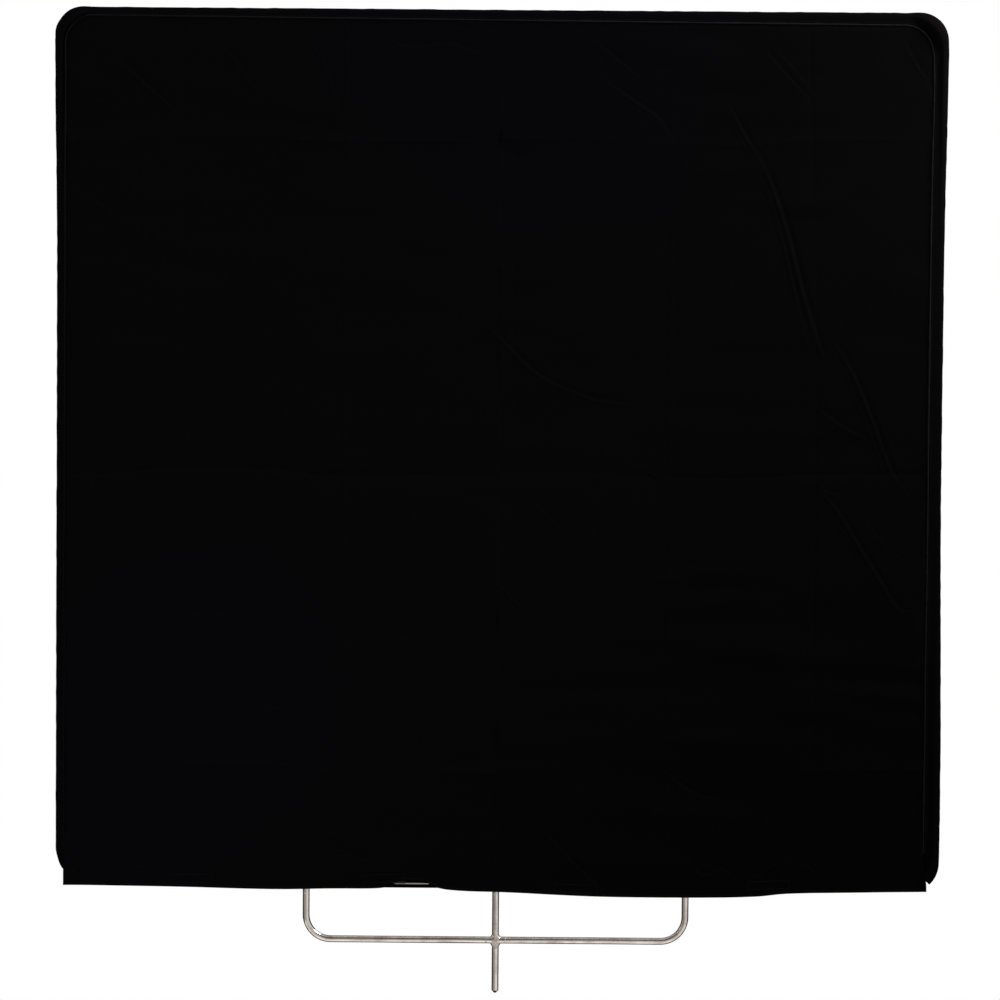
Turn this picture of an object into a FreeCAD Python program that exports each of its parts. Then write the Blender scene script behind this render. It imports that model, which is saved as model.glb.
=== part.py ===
import FreeCAD, Part
import math
import os

import Sketcher

# Flag frame: a square of round steel rod with a yoke and a grip pin below it, in a slip-on black
# cloth cover. Millimetres, +Z up, the cloth's front faces -Y. The origin is on the grip pin's
# axis, at the middle of the length that a grip head clamps.

Vector = FreeCAD.Vector

os.makedirs("parts", exist_ok=True)
document = FreeCAD.newDocument("flag_frame")
sheet = document.addObject("Spreadsheet::Sheet", "sizes")

DRIVING_SIZES = [
    ("rod_diameter", 9.525, "round steel rod, 3/8 in"),
    ("frame_width", 1219.2, "ring, outside to outside, 48 in"),
    ("frame_height", 1213, "ring, outside to outside"),
    ("corner_radius", 48, "ring corners, on the rod's centre line"),
    ("leg_spacing", 525.6, "between the yoke's two legs, on centre lines"),
    ("yoke_drop", 78, "from the bottom bar's centre to the yoke bar's centre"),
    ("yoke_bend_radius", 34, "yoke corners, on the rod's centre line"),
    ("pin_reach", 73.6, "from the yoke bar's centre to the pin's nose"),
    ("nose_chamfer", 3.5, "on the pin's nose"),
    ("weld_spread", 5.5, "bead along the rod that is crossed"),
    ("weld_reach", 7, "bead along the rod that ends there"),
    ("weld_hollow", 1.6, "depth of the bead's hollow face"),
    ("weld_crown", 0.4, "bead proud of the rods on front and back"),
    ("weld_bevel", 1.5, "pin's top end, cut back under its bead"),
    ("cloth_thickness", 0.8, "black cotton cloth"),
    ("cloth_clearance", 0.3, "between cloth and rod, and between the cloth's panels"),
    ("fold_slit", 0.4, "where a strip of cloth folds up or down"),
    ("seam_left", 11, "seam line from the cover's left edge"),
    ("seam_right", 19, "seam line from the cover's right edge"),
    ("seam_top_left", 11, "seam line from the top edge, left end"),
    ("seam_top_right", 17, "seam line from the top edge, right end"),
    ("seam_corner", 38, "radius of the seam line at the top corners"),
    ("seam_width", 3.2, "ridge of turned-in cloth"),
    ("seam_height", 0.9, "ridge of turned-in cloth"),
    ("crease_pitch", 219, "between the upright storage creases"),
    ("crease_shift", 15, "middle crease from the stem's axis"),
    ("crease_rise", 165, "lowest level crease above the bottom bar's centre"),
    ("crease_climb", 439, "between the level storage creases"),
    ("fold_bulge", 5, "how far the front cloth stands out between its creases"),
    ("crease_share", 0.3, "bulge left on a level crease, as a share"),
    ("flat_edge", 8, "flat cloth beside the seam"),
    ("lip_depth", 46, "the lip's fold line above the bottom bar's centre"),
    ("lip_knee", 18, "where the lip turns upright, above the bottom bar's centre"),
    ("lip_drop", 6, "lip below the bottom bar's centre"),
    ("lip_sag", 11, "extra drop of the lip right of the stem"),
    ("lip_wave", 900, "radius of the waves in the lip's edge"),
    ("hem_width", 3.5, "turned-up edge of the lip"),
    ("corner_wrap", 50, "degrees of each bottom corner that the cover's rim follows"),
    ("flap_rise", 20, "flap up the front of the bottom bar, above its centre"),
    ("slot_clearance", 2, "flaps from the beads on the bottom bar"),
    ("tape_length", 60, "hook and loop tape"),
    ("tape_width", 14, "hook and loop tape"),
    ("tape_thickness", 1, "hook and loop tape"),
    ("tape_clearance", 0.3, "between closed hook and loop tape"),
    ("hook_height", 10, "hook tape's centre above the bottom bar's centre"),
    ("loop_height_1", 6, "loop tape's centre above the bottom bar's centre"),
    ("loop_height_2", 8, "loop tape's centre above the bottom bar's centre"),
    ("loop_height_3", -4, "loop tape's centre above the bottom bar's centre"),
    ("loop_height_4", 3, "loop tape's centre above the bottom bar's centre"),
    ("tape_shift_1", -8, "tape's middle from the middle of its bay"),
    ("tape_shift_2", -24, "tape's middle from the middle of its bay"),
    ("tape_shift_3", -20, "tape's middle from the middle of its bay"),
    ("tape_shift_4", -37, "tape's middle from the middle of its bay"),
]

for row, (name, number, note) in enumerate(DRIVING_SIZES, start=1):
    sheet.set(f"A{row}", note)
    sheet.set(f"B{row}", str(number))
    sheet.setAlias(f"B{row}", name)
document.recompute()


def read(expression):
    return float(sheet.evalExpression(expression))


# Places and sizes that follow from the driving ones, each an expression over the sheet.
ROD_RADIUS = "sizes.rod_diameter / 2"
CLAMP_LENGTH = f"(sizes.pin_reach - sizes.nose_chamfer - {ROD_RADIUS} - sizes.weld_reach)"
YOKE_Z = f"({CLAMP_LENGTH} / 2 + {ROD_RADIUS} + sizes.weld_reach)"
NOSE_Z = f"({YOKE_Z} - sizes.pin_reach)"
BAR_Z = f"({YOKE_Z} + sizes.yoke_drop)"
TOP_Z = f"({BAR_Z} + sizes.frame_height - sizes.rod_diameter)"
SIDE_X = "((sizes.frame_width - sizes.rod_diameter) / 2)"
LEG_X = "(sizes.leg_spacing / 2)"

# The cloth's inner and outer face, counted from the centre line of the rod that it passes.
INNER = f"({ROD_RADIUS} + sizes.cloth_clearance)"
OUTER = f"({INNER} + sizes.cloth_thickness)"
LIP_Z = f"({BAR_Z} + sizes.lip_depth)"
LIP_INNER = f"({OUTER} + 2 * sizes.tape_thickness + sizes.tape_clearance)"
LIP_OUTER = f"({LIP_INNER} + sizes.cloth_thickness)"
SLOT_HALF = f"({ROD_RADIUS} + sizes.weld_spread + sizes.slot_clearance)"
BAY_END_X = f"({SIDE_X} - sizes.corner_radius - sizes.slot_clearance)"

# The seam line on the cover's front. The border of back cloth outside it is trimmed to it.
SEAM_LEFT_X = f"(sizes.seam_left - {OUTER} - {SIDE_X})"
SEAM_RIGHT_X = f"({OUTER} + {SIDE_X} - sizes.seam_right)"
SEAM_TOP_LEFT_Z = f"({TOP_Z} + {OUTER} - sizes.seam_top_left)"
SEAM_TOP_RIGHT_Z = f"({TOP_Z} + {OUTER} - sizes.seam_top_right)"
BORDER = "(max(sizes.seam_left; sizes.seam_right; sizes.seam_top_left; sizes.seam_top_right))"
LIP_LEFT_X = f"({SEAM_LEFT_X} + sizes.cloth_clearance)"
LIP_RIGHT_X = f"({SEAM_RIGHT_X} - sizes.cloth_clearance)"

# The bottom bar's bays, from corner to leg to stem, each with a flap and a pair of tapes.
BAYS = [
    (f"(-{BAY_END_X})", f"(-{LEG_X} - {SLOT_HALF})"),
    (f"(-{LEG_X} + {SLOT_HALF})", f"(-{SLOT_HALF})"),
    (SLOT_HALF, f"({LEG_X} - {SLOT_HALF})"),
    (f"({LEG_X} + {SLOT_HALF})", BAY_END_X),
]
TAPE_X = [f"(({start} + {end}) / 2 + sizes.tape_shift_{number})" for number, (start, end) in enumerate(BAYS, 1)]


def new_body(name):
    body = document.addObject("PartDesign::Body", name)
    body.Label = name
    return body


def new_sketch(body, name, plane, offset=None):
    """A sketch on one of the body's own planes, moved along its normal by an expression."""
    sketch = body.newObject("Sketcher::SketchObject", f"{body.Name}_{name}")
    support = [item for item in body.Origin.OriginFeatures if item.Role == plane][0]
    sketch.AttachmentSupport = [(support, "")]
    sketch.MapMode = "FlatFace"
    if offset is not None:
        sketch.setExpression("AttachmentOffset.Base.z", offset)
    return sketch


def bind(sketch, constraint, expression):
    index = sketch.addConstraint(constraint)
    sketch.setExpression(f"Constraints[{index}]", expression)


def pin_down(sketch, geometry, end, across, up):
    """Ties a point of the sketch to the sketch's origin by two expressions."""
    bind(sketch, Sketcher.Constraint("DistanceX", -1, 1, geometry, end, read(across)), across)
    bind(sketch, Sketcher.Constraint("DistanceY", -1, 1, geometry, end, read(up)), up)


def arc_ends(sketch, arc, place):
    """Numbers of the arc's end at a place and of its other end, for the sketch's constraints."""
    to_first = sketch.getPoint(arc, 1).distanceToPoint(place)
    to_last = sketch.getPoint(arc, 2).distanceToPoint(place)
    return (1, 2) if to_first < to_last else (2, 1)


def draw_circle(sketch, across, up, radius):
    centre = Vector(read(across), read(up), 0)
    circle = sketch.addGeometry(Part.Circle(centre, Vector(0, 0, 1), read(radius)), False)
    pin_down(sketch, circle, 3, across, up)
    bind(sketch, Sketcher.Constraint("Radius", circle, read(radius)), radius)


def draw_chain(sketch, corners, closed=True):
    """Straight runs through corners of (across, up, radius), rounded where there is a radius."""
    count = len(corners)
    places = [Vector(read(across), read(up), 0) for across, up, radius in corners]
    marks = []
    for place, (across, up, radius) in zip(places, corners):
        mark = sketch.addGeometry(Part.Point(place), True)
        pin_down(sketch, mark, 1, across, up)
        marks.append(mark)

    def run_end(corner, other):
        """Where the run from this corner to the other one starts, clear of the corner's arc."""
        if corners[corner][2] is None:
            return places[corner]
        ahead = places[(corner + 1) % count] - places[corner]
        behind = places[corner - 1] - places[corner]
        setback = read(corners[corner][2]) / math.tan(ahead.getAngle(behind) / 2)
        return places[corner] + (places[other] - places[corner]).normalize() * setback

    runs = []
    for start in range(count if closed else count - 1):
        end = (start + 1) % count
        line = Part.LineSegment(run_end(start, end), run_end(end, start))
        runs.append(sketch.addGeometry(line, False))
        for corner in (start, end):
            if corners[corner][2] is not None:
                sketch.addConstraint(Sketcher.Constraint("PointOnObject", marks[corner], 1, runs[-1]))

    for corner, (across, up, radius) in enumerate(corners):
        before = runs[corner - 1] if closed or corner > 0 else None
        after = runs[corner] if closed or corner < count - 1 else None
        if radius is None:
            if before is not None:
                sketch.addConstraint(Sketcher.Constraint("Coincident", before, 2, marks[corner], 1))
            if after is not None:
                sketch.addConstraint(Sketcher.Constraint("Coincident", after, 1, marks[corner], 1))
            continue
        first = run_end(corner, corner - 1)
        last = run_end(corner, (corner + 1) % count)
        middle = (first + last) * 0.5
        half_chord = first.distanceToPoint(last) / 2
        rise = read(radius) - math.sqrt(read(radius) ** 2 - half_chord ** 2)
        bend = Part.Arc(first, middle + (places[corner] - middle).normalize() * rise, last)
        arc = sketch.addGeometry(bend, False)
        near, far = arc_ends(sketch, arc, first)
        sketch.addConstraint(Sketcher.Constraint("Tangent", before, 2, arc, near))
        sketch.addConstraint(Sketcher.Constraint("Tangent", arc, far, after, 1))
        bind(sketch, Sketcher.Constraint("Radius", arc, read(radius)), radius)


def draw_hook(sketch, up, side, front, back):
    """Cloth half round a rod at height up, over it (side 1) or under it (side -1).

    It runs on straight for the length front before the rod and for the length back behind it.
    """
    centre = Vector(0, read(up), 0)
    arcs = []
    for radius in (OUTER, INNER):
        reach = read(radius)
        half_round = Part.Arc(
            centre - Vector(reach, 0, 0), centre + Vector(0, side * reach, 0), centre + Vector(reach, 0, 0)
        )
        arc = sketch.addGeometry(half_round, False)
        pin_down(sketch, arc, 3, "0", up)
        bind(sketch, Sketcher.Constraint("Radius", arc, reach), radius)
        arcs.append((arc, reach))
    for hand, length in ((-1, front), (1, back)):
        ends = []
        for arc, reach in arcs:
            top = centre + Vector(hand * reach, 0, 0)
            strip = Part.LineSegment(top, top - Vector(0, side * read(length), 0))
            line = sketch.addGeometry(strip, False)
            near = arc_ends(sketch, arc, top)[0]
            sketch.addConstraint(Sketcher.Constraint("Tangent", arc, near, line, 1))
            sketch.addConstraint(Sketcher.Constraint("Vertical", line))
            ends.append(line)
        outer_line, inner_line = ends
        hem = Part.LineSegment(sketch.Geometry[outer_line].EndPoint, sketch.Geometry[inner_line].EndPoint)
        edge = sketch.addGeometry(hem, False)
        sketch.addConstraint(Sketcher.Constraint("Coincident", outer_line, 2, edge, 1))
        sketch.addConstraint(Sketcher.Constraint("Coincident", inner_line, 2, edge, 2))
        sketch.addConstraint(Sketcher.Constraint("Horizontal", edge))
        bind(sketch, Sketcher.Constraint("DistanceY", outer_line, 1, outer_line, 2,
                                         -side * read(length)), f"{-side} * {length}")


def sweep(body, section, path):
    pipe = body.newObject("PartDesign::AdditivePipe", f"{body.Name}_sweep")
    pipe.Profile = section
    pipe.Spine = path
    return pipe


def pad(body, name, sketch, length):
    """Adds material along the sketch's normal."""
    feature = body.newObject("PartDesign::Pad", f"{body.Name}_{name}")
    feature.Profile = sketch
    feature.setExpression("Length", length)
    return feature


def cut(body, name, sketch, both_ways=True, towards_normal=False):
    """Cuts the sketch through everything, both ways or to one side of its plane."""
    feature = body.newObject("PartDesign::Pocket", f"{body.Name}_{name}")
    feature.Profile = sketch
    feature.Type = "ThroughAll"
    if both_ways:
        feature.SideType = "Symmetric"
    feature.Reversed = towards_normal
    return feature


def cope(body, name, plane, across, up):
    """Hollows the end of a rod to the round of the rod that it meets."""
    sketch = new_sketch(body, name, plane)
    draw_circle(sketch, across, up, ROD_RADIUS)
    cut(body, f"{name}_cut", sketch)


def make_frame_ring():
    body = new_body("frame_ring")
    path = new_sketch(body, "path", "XZ_Plane")
    bend = "sizes.corner_radius"
    draw_chain(path, [
        (f"-{SIDE_X}", BAR_Z, bend),
        (SIDE_X, BAR_Z, bend),
        (SIDE_X, TOP_Z, bend),
        (f"-{SIDE_X}", TOP_Z, bend),
    ])
    section = new_sketch(body, "section", "YZ_Plane")
    draw_circle(section, "0", BAR_Z, ROD_RADIUS)
    sweep(body, section, path)
    return body


def make_yoke():
    """One rod from the bottom bar down, across below the frame and up to the bar again."""
    body = new_body("yoke")
    path = new_sketch(body, "path", "XZ_Plane")
    bend = "sizes.yoke_bend_radius"
    draw_chain(path, [
        (f"-{LEG_X}", BAR_Z, None),
        (f"-{LEG_X}", YOKE_Z, bend),
        (LEG_X, YOKE_Z, bend),
        (LEG_X, BAR_Z, None),
    ], closed=False)
    section = new_sketch(body, "section", "YZ_Plane")
    draw_circle(section, "0", YOKE_Z, ROD_RADIUS)
    sweep(body, section, path)
    cope(body, "bar_cope", "YZ_Plane", "0", BAR_Z)
    return body


def make_stem():
    """Straight rod from the middle of the yoke up to the bottom bar."""
    body = new_body("stem")
    section = new_sketch(body, "section", "XY_Plane", YOKE_Z)
    draw_circle(section, "0", "0", ROD_RADIUS)
    pad(body, "rod", section, f"{BAR_Z} - {YOKE_Z}")
    cope(body, "yoke_cope", "YZ_Plane", "0", YOKE_Z)
    cope(body, "bar_cope", "YZ_Plane", "0", BAR_Z)
    return body


def turn_round(body, name, corners):
    """A profile of (radius, height, None) corners turned about the body's upright axis."""
    profile = new_sketch(body, f"{name}_profile", "XZ_Plane")
    draw_chain(profile, corners)
    turned = body.newObject("PartDesign::Revolution", f"{body.Name}_{name}")
    turned.Profile = profile
    turned.ReferenceAxis = (profile, ["V_Axis"])
    turned.Angle = 360


def make_grip_pin():
    """Straight pin below the yoke: chamfered nose, full rod for the clamp, bevelled weld end."""
    body = new_body("grip_pin")
    turn_round(body, "rod", [
        ("0", NOSE_Z, None),
        (f"{ROD_RADIUS} - sizes.nose_chamfer", NOSE_Z, None),
        (ROD_RADIUS, f"{NOSE_Z} + sizes.nose_chamfer", None),
        (ROD_RADIUS, f"{YOKE_Z} - {ROD_RADIUS} - sizes.weld_reach", None),
        (f"{ROD_RADIUS} - sizes.weld_bevel", YOKE_Z, None),
        ("0", YOKE_Z, None),
    ])
    cope(body, "yoke_cope", "YZ_Plane", "0", YOKE_Z)
    return body


def make_bead(name, across, up, turn, bevel="0"):
    """Bead round the end of a rod, where it meets another. The rod leaves along the bead's own +Z.

    The rod that is crossed lies along the bead's X. Front and back are dressed nearly flush.
    """
    body = new_body(name)
    outside = f"({ROD_RADIUS} + sizes.weld_spread)"
    top = f"({ROD_RADIUS} + sizes.weld_reach)"
    hollow = "sizes.weld_hollow * sin(45deg)"
    turn_round(body, "bead", [
        (f"{ROD_RADIUS} - {bevel}", "0", None),
        (outside, "0", None),
        (outside, ROD_RADIUS, None),
        (f"({ROD_RADIUS} + {outside}) / 2 - {hollow}", f"({ROD_RADIUS} + {top}) / 2 - {hollow}", None),
        (ROD_RADIUS, top, None),
    ])
    cope(body, "crossed_rod", "YZ_Plane", "0", "0")

    flush = f"({ROD_RADIUS} + sizes.weld_crown)"
    for hand, sign in (("front", "-"), ("back", "")):
        slab = new_sketch(body, f"{hand}_slab", "YZ_Plane")
        draw_chain(slab, [
            (f"{sign}{flush}", f"-{outside}", None),
            (f"{sign}2 * {outside}", f"-{outside}", None),
            (f"{sign}2 * {outside}", f"2 * {top}", None),
            (f"{sign}{flush}", f"2 * {top}", None),
        ])
        cut(body, f"{hand}_dressed", slab)

    body.Placement = FreeCAD.Placement(Vector(0, 0, 0), FreeCAD.Rotation(Vector(0, 1, 0), turn))
    body.setExpression("Placement.Base.x", across)
    body.setExpression("Placement.Base.z", up)
    return body


def make_welds(name, beads):
    """Beads of one weld or one row of welds, each a solid of its own."""
    group = document.addObject("Part::Compound", name)
    group.Label = name
    group.Links = beads
    return group


def seam_corners(inset, bottom):
    """Outline inside the seam line, drawn in by an expression, from a height upwards."""
    left = f"{SEAM_LEFT_X} + {inset}"
    right = f"{SEAM_RIGHT_X} - {inset}"
    bend = f"sizes.seam_corner - {inset}"
    return [
        (left, bottom, None),
        (left, f"{SEAM_TOP_LEFT_Z} - {inset}", bend),
        (right, f"{SEAM_TOP_RIGHT_Z} - {inset}", bend),
        (right, bottom, None),
    ]


def make_back_panel():
    """Cloth behind the ring with a rim that hooks round the rods to the seam on the front."""
    body = new_body("back_panel")
    bend = "sizes.corner_radius"
    turn = "sizes.corner_wrap"
    setback = f"{bend} * tan({turn} / 2 * 1deg)"
    corner_z = f"({BAR_Z} + {bend} - {setback})"
    stub = f"({setback} + sizes.cloth_thickness)"
    path = new_sketch(body, "path", "XZ_Plane")
    draw_chain(path, [
        (f"-{SIDE_X} + {stub} * sin({turn} * 1deg)", f"{corner_z} - {stub} * cos({turn} * 1deg)", None),
        (f"-{SIDE_X}", corner_z, bend),
        (f"-{SIDE_X}", TOP_Z, bend),
        (SIDE_X, TOP_Z, bend),
        (SIDE_X, corner_z, bend),
        (f"{SIDE_X} - {stub} * sin({turn} * 1deg)", f"{corner_z} - {stub} * cos({turn} * 1deg)", None),
    ], closed=False)
    section = new_sketch(body, "section", "YZ_Plane")
    draw_hook(section, TOP_Z, 1, BORDER, "sizes.cloth_thickness")
    sweep(body, section, path)

    behind = new_sketch(body, "outline", "XZ_Plane", f"-{OUTER}")
    draw_chain(behind, [
        (f"-{SIDE_X}", f"{BAR_Z} + 2 * sizes.fold_slit", bend),
        (SIDE_X, f"{BAR_Z} + 2 * sizes.fold_slit", bend),
        (SIDE_X, TOP_Z, bend),
        (f"-{SIDE_X}", TOP_Z, bend),
    ])
    pad(body, "cloth", behind, "sizes.cloth_thickness")

    trim = new_sketch(body, "trim", "XZ_Plane")
    draw_chain(trim, seam_corners("0", f"{BAR_Z} - 2 * {OUTER}"))
    cut(body, "front_opening", trim, both_ways=False, towards_normal=True)
    return body


def fold_section(height, bulge):
    """Level slice of the front cloth: flat at both ends, one bay between each two creases."""
    left = read(SEAM_LEFT_X)
    right = read(SEAM_RIGHT_X)
    flat = read("sizes.flat_edge")
    creases = [read(f"sizes.crease_shift + {place} * sizes.crease_pitch") for place in (-2, -1, 0, 1, 2)]
    stations = [left + flat, *creases, right - flat]
    edges = []
    for face, back_again in ((-read(OUTER), False), (-read(INNER), True)):
        row = [Part.LineSegment(Vector(left, face, height), Vector(stations[0], face, height)).toShape()]
        for start, end in zip(stations, stations[1:]):
            ends = [Vector(start, face, height), Vector(end, face, height)]
            crown = Vector((start + end) / 2, face - bulge, height)
            bay = Part.Arc(ends[0], crown, ends[1]) if bulge else Part.LineSegment(*ends)
            row.append(bay.toShape())
        row.append(Part.LineSegment(Vector(stations[-1], face, height), Vector(right, face, height)).toShape())
        if back_again:
            for end_x in (right, left):
                closing = Part.LineSegment(
                    Vector(end_x, -read(OUTER), height), Vector(end_x, -read(INNER), height)
                )
                edges.append(closing.toShape())
        edges.extend(row)
    return Part.Wire(Part.__sortEdges__(edges))


def make_front_panel():
    """Cloth before the ring, standing out a little between the creases that storage left in it."""
    bulge = read("sizes.fold_bulge")
    creased = bulge * read("sizes.crease_share")
    bottom = read(LIP_Z)
    top = read(f"{TOP_Z} + {OUTER}")
    top_flat = read(f"min({SEAM_TOP_LEFT_Z}; {SEAM_TOP_RIGHT_Z}) - 2 * sizes.flat_edge")
    marks = [(bottom, 0)]
    for crease in range(3):
        marks.append((read(f"{BAR_Z} + sizes.crease_rise + {crease} * sizes.crease_climb"), creased))
    marks.append((top_flat, 0))
    levels = []
    for (low, low_depth), (high, high_depth) in zip(marks, marks[1:]):
        levels.append((low, low_depth))
        for share in (1 / 3, 2 / 3):
            crease_depth = low_depth + (high_depth - low_depth) * share
            levels.append((low + (high - low) * share, crease_depth + (bulge - crease_depth) * 0.8))
    levels.append((top_flat, 0))
    levels.append((top, 0))
    cloth = document.addObject("Part::Feature", "front_cloth")
    cloth.Shape = Part.makeLoft([fold_section(height, depth) for height, depth in levels], True, True)

    outline = new_body("front_outline")
    shape = new_sketch(outline, "shape", "XZ_Plane", f"-{OUTER}")
    draw_chain(shape, seam_corners("sizes.cloth_clearance", f"{LIP_Z} + sizes.fold_slit / 2"))
    pad(outline, "block", shape, f"4 * {OUTER} + sizes.fold_bulge")

    panel = document.addObject("Part::Common", "front_panel")
    panel.Label = "front_panel"
    panel.Base = cloth
    panel.Tool = outline
    return panel


def make_edge_seam():
    """Ridge of turned-in cloth along the seam line."""
    body = new_body("edge_seam")
    path = new_sketch(body, "path", "XZ_Plane")
    draw_chain(path, seam_corners("0", f"{LIP_Z} + 4 * sizes.seam_height"), closed=False)
    section = new_sketch(body, "section", "YZ_Plane")
    middle = f"({SEAM_TOP_LEFT_Z} + {SEAM_TOP_RIGHT_Z}) / 2"
    low = f"({middle} - sizes.seam_width / 2)"
    high = f"({middle} + sizes.seam_width / 2)"
    crest = f"-({OUTER} + sizes.seam_height)"
    seat_low = Vector(-read(OUTER), read(low), 0)
    seat_high = Vector(-read(OUTER), read(high), 0)
    seat = section.addGeometry(Part.LineSegment(seat_low, seat_high), False)
    ridge = section.addGeometry(Part.Arc(seat_low, Vector(read(crest), read(middle), 0), seat_high), False)
    mark = section.addGeometry(Part.Point(Vector(read(crest), read(middle), 0)), True)
    near, far = arc_ends(section, ridge, seat_low)
    pin_down(section, seat, 1, f"-{OUTER}", low)
    pin_down(section, seat, 2, f"-{OUTER}", high)
    pin_down(section, mark, 1, crest, middle)
    section.addConstraint(Sketcher.Constraint("Coincident", seat, 1, ridge, near))
    section.addConstraint(Sketcher.Constraint("Coincident", seat, 2, ridge, far))
    section.addConstraint(Sketcher.Constraint("PointOnObject", mark, 1, ridge))
    sweep(body, section, path)
    return body


def lip_edge(rise):
    """The lip's wavy lower edge, moved up by an expression, as corners from left to right."""
    wave = "sizes.lip_wave"
    drop = "sizes.lip_drop"
    sagged = f"({drop} + sizes.lip_sag)"
    stations = [
        (f"-{LEG_X}", f"1.3 * {drop}"),
        (TAPE_X[1], f"0.9 * {drop}"),
        (f"{TAPE_X[2]} + sizes.tape_length / 2", sagged),
        (f"{TAPE_X[3]} - sizes.tape_length / 2", sagged),
        (f"{TAPE_X[3]} + sizes.tape_length", f"1.4 * {drop}"),
    ]
    ends = [(f"2 * {LIP_LEFT_X}", f"0.5 * {drop}", None), (f"2 * {LIP_RIGHT_X}", drop, None)]
    bends = [(across, depth, wave) for across, depth in stations]
    corners = [ends[0], *bends, ends[1]]
    return [(across, f"{BAR_Z} - {depth} + {rise}", radius) for across, depth, radius in corners]


def make_front_lip():
    """Lowest strip of the front cloth, out over the closed tapes, with a narrow turned hem."""
    body = new_body("front_lip")
    low_z = f"({BAR_Z} - 2 * (sizes.lip_drop + sizes.lip_sag))"
    knee_z = f"({BAR_Z} + sizes.lip_knee)"
    fold_z = f"({LIP_Z} - sizes.fold_slit / 2)"
    width = f"{LIP_RIGHT_X} - {LIP_LEFT_X}"
    section = new_sketch(body, "section", "YZ_Plane", LIP_LEFT_X)
    draw_chain(section, [
        (f"-{INNER}", fold_z, None),
        (f"-{LIP_INNER}", knee_z, None),
        (f"-{LIP_INNER}", low_z, None),
        (f"-{LIP_OUTER}", low_z, None),
        (f"-{LIP_OUTER}", knee_z, None),
        (f"-{OUTER}", fold_z, None),
    ])
    pad(body, "cloth", section, width)
    turned = new_sketch(body, "turned", "YZ_Plane", LIP_LEFT_X)
    draw_chain(turned, [
        (f"-{LIP_INNER}", low_z, None),
        (f"-{LIP_INNER}", knee_z, None),
        (f"-{LIP_INNER} + sizes.cloth_thickness", knee_z, None),
        (f"-{LIP_INNER} + sizes.cloth_thickness", low_z, None),
    ])
    pad(body, "hem", turned, width)

    below = new_sketch(body, "below", "XZ_Plane")
    floor = f"{low_z} - sizes.lip_depth"
    draw_chain(below, [
        *lip_edge("0"),
        (f"2 * {LIP_RIGHT_X}", floor, None),
        (f"2 * {LIP_LEFT_X}", floor, None),
    ])
    cut(body, "edge", below)

    above = new_sketch(body, "above", "XZ_Plane", LIP_INNER)
    draw_chain(above, [
        *lip_edge("sizes.hem_width"),
        (f"2 * {LIP_RIGHT_X}", knee_z, None),
        (f"2 * {LIP_LEFT_X}", knee_z, None),
    ])
    hem_top = body.newObject("PartDesign::Pocket", "front_lip_hem_top")
    hem_top.Profile = above
    hem_top.setExpression("Length", "sizes.cloth_thickness")
    return body


def make_flap(number, start, end):
    """Back cloth of one bay, wrapped under the bottom bar and up its front."""
    body = new_body(f"wrap_flap_{number}")
    section = new_sketch(body, "section", "YZ_Plane", start)
    draw_hook(section, BAR_Z, -1, "sizes.flap_rise", "sizes.fold_slit")
    pad(body, "cloth", section, f"{end} - {start}")
    return body


def make_tape(name, middle, back_y, height):
    """One piece of tape in front of the plane y = back_y, all given as expressions."""
    tape = document.addObject("Part::Box", name)
    tape.Label = name
    tape.setExpression("Length", "sizes.tape_length")
    tape.setExpression("Width", "sizes.tape_thickness")
    tape.setExpression("Height", "sizes.tape_width")
    tape.setExpression("Placement.Base.x", f"{middle} - sizes.tape_length / 2")
    tape.setExpression("Placement.Base.y", f"{back_y} - sizes.tape_thickness")
    tape.setExpression("Placement.Base.z", f"{BAR_Z} + {height} - sizes.tape_width / 2")
    return tape


sub_parts = [
    make_frame_ring(),
    make_yoke(),
    make_stem(),
    make_grip_pin(),
    make_welds("bar_welds", [
        make_bead("left_leg_bead", f"-{LEG_X}", BAR_Z, 180),
        make_bead("stem_bead", "0", BAR_Z, 180),
        make_bead("right_leg_bead", LEG_X, BAR_Z, 180),
    ]),
    make_welds("yoke_welds", [
        make_bead("stem_foot_bead", "0", YOKE_Z, 0),
        make_bead("pin_bead", "0", YOKE_Z, 180, "sizes.weld_bevel"),
    ]),
    make_back_panel(),
    make_front_panel(),
    make_edge_seam(),
    make_front_lip(),
]

loop_back = f"sizes.tape_thickness - {LIP_INNER}"
for number, ((start, end), middle) in enumerate(zip(BAYS, TAPE_X), start=1):
    sub_parts.append(make_flap(number, start, end))
    sub_parts.append(make_tape(f"loop_patch_{number}", middle, loop_back, f"sizes.loop_height_{number}"))
    sub_parts.append(make_tape(f"hook_patch_{number}", middle, f"-{OUTER}", "sizes.hook_height"))

document.recompute()
for item in document.Objects:
    if "Invalid" in item.State or "Error" in item.State:
        raise RuntimeError(f"{item.Label} did not build: {item.State}")
for item in sub_parts:
    if item.Shape.isNull() or not item.Shape.isValid() or not item.Shape.Solids:
        raise RuntimeError(f"{item.Label} has no sound solid")

for item in sub_parts:
    box = item.Shape.BoundBox
    print(f"{item.Label}: {len(item.Shape.Solids)} solid, {item.Shape.Volume:.0f} mm3, "
          f"x {box.XMin:.1f} to {box.XMax:.1f}, y {box.YMin:.1f} to {box.YMax:.1f}, "
          f"z {box.ZMin:.1f} to {box.ZMax:.1f}")
    item.Shape.exportStep(f"parts/{item.Label}.step")
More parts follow.
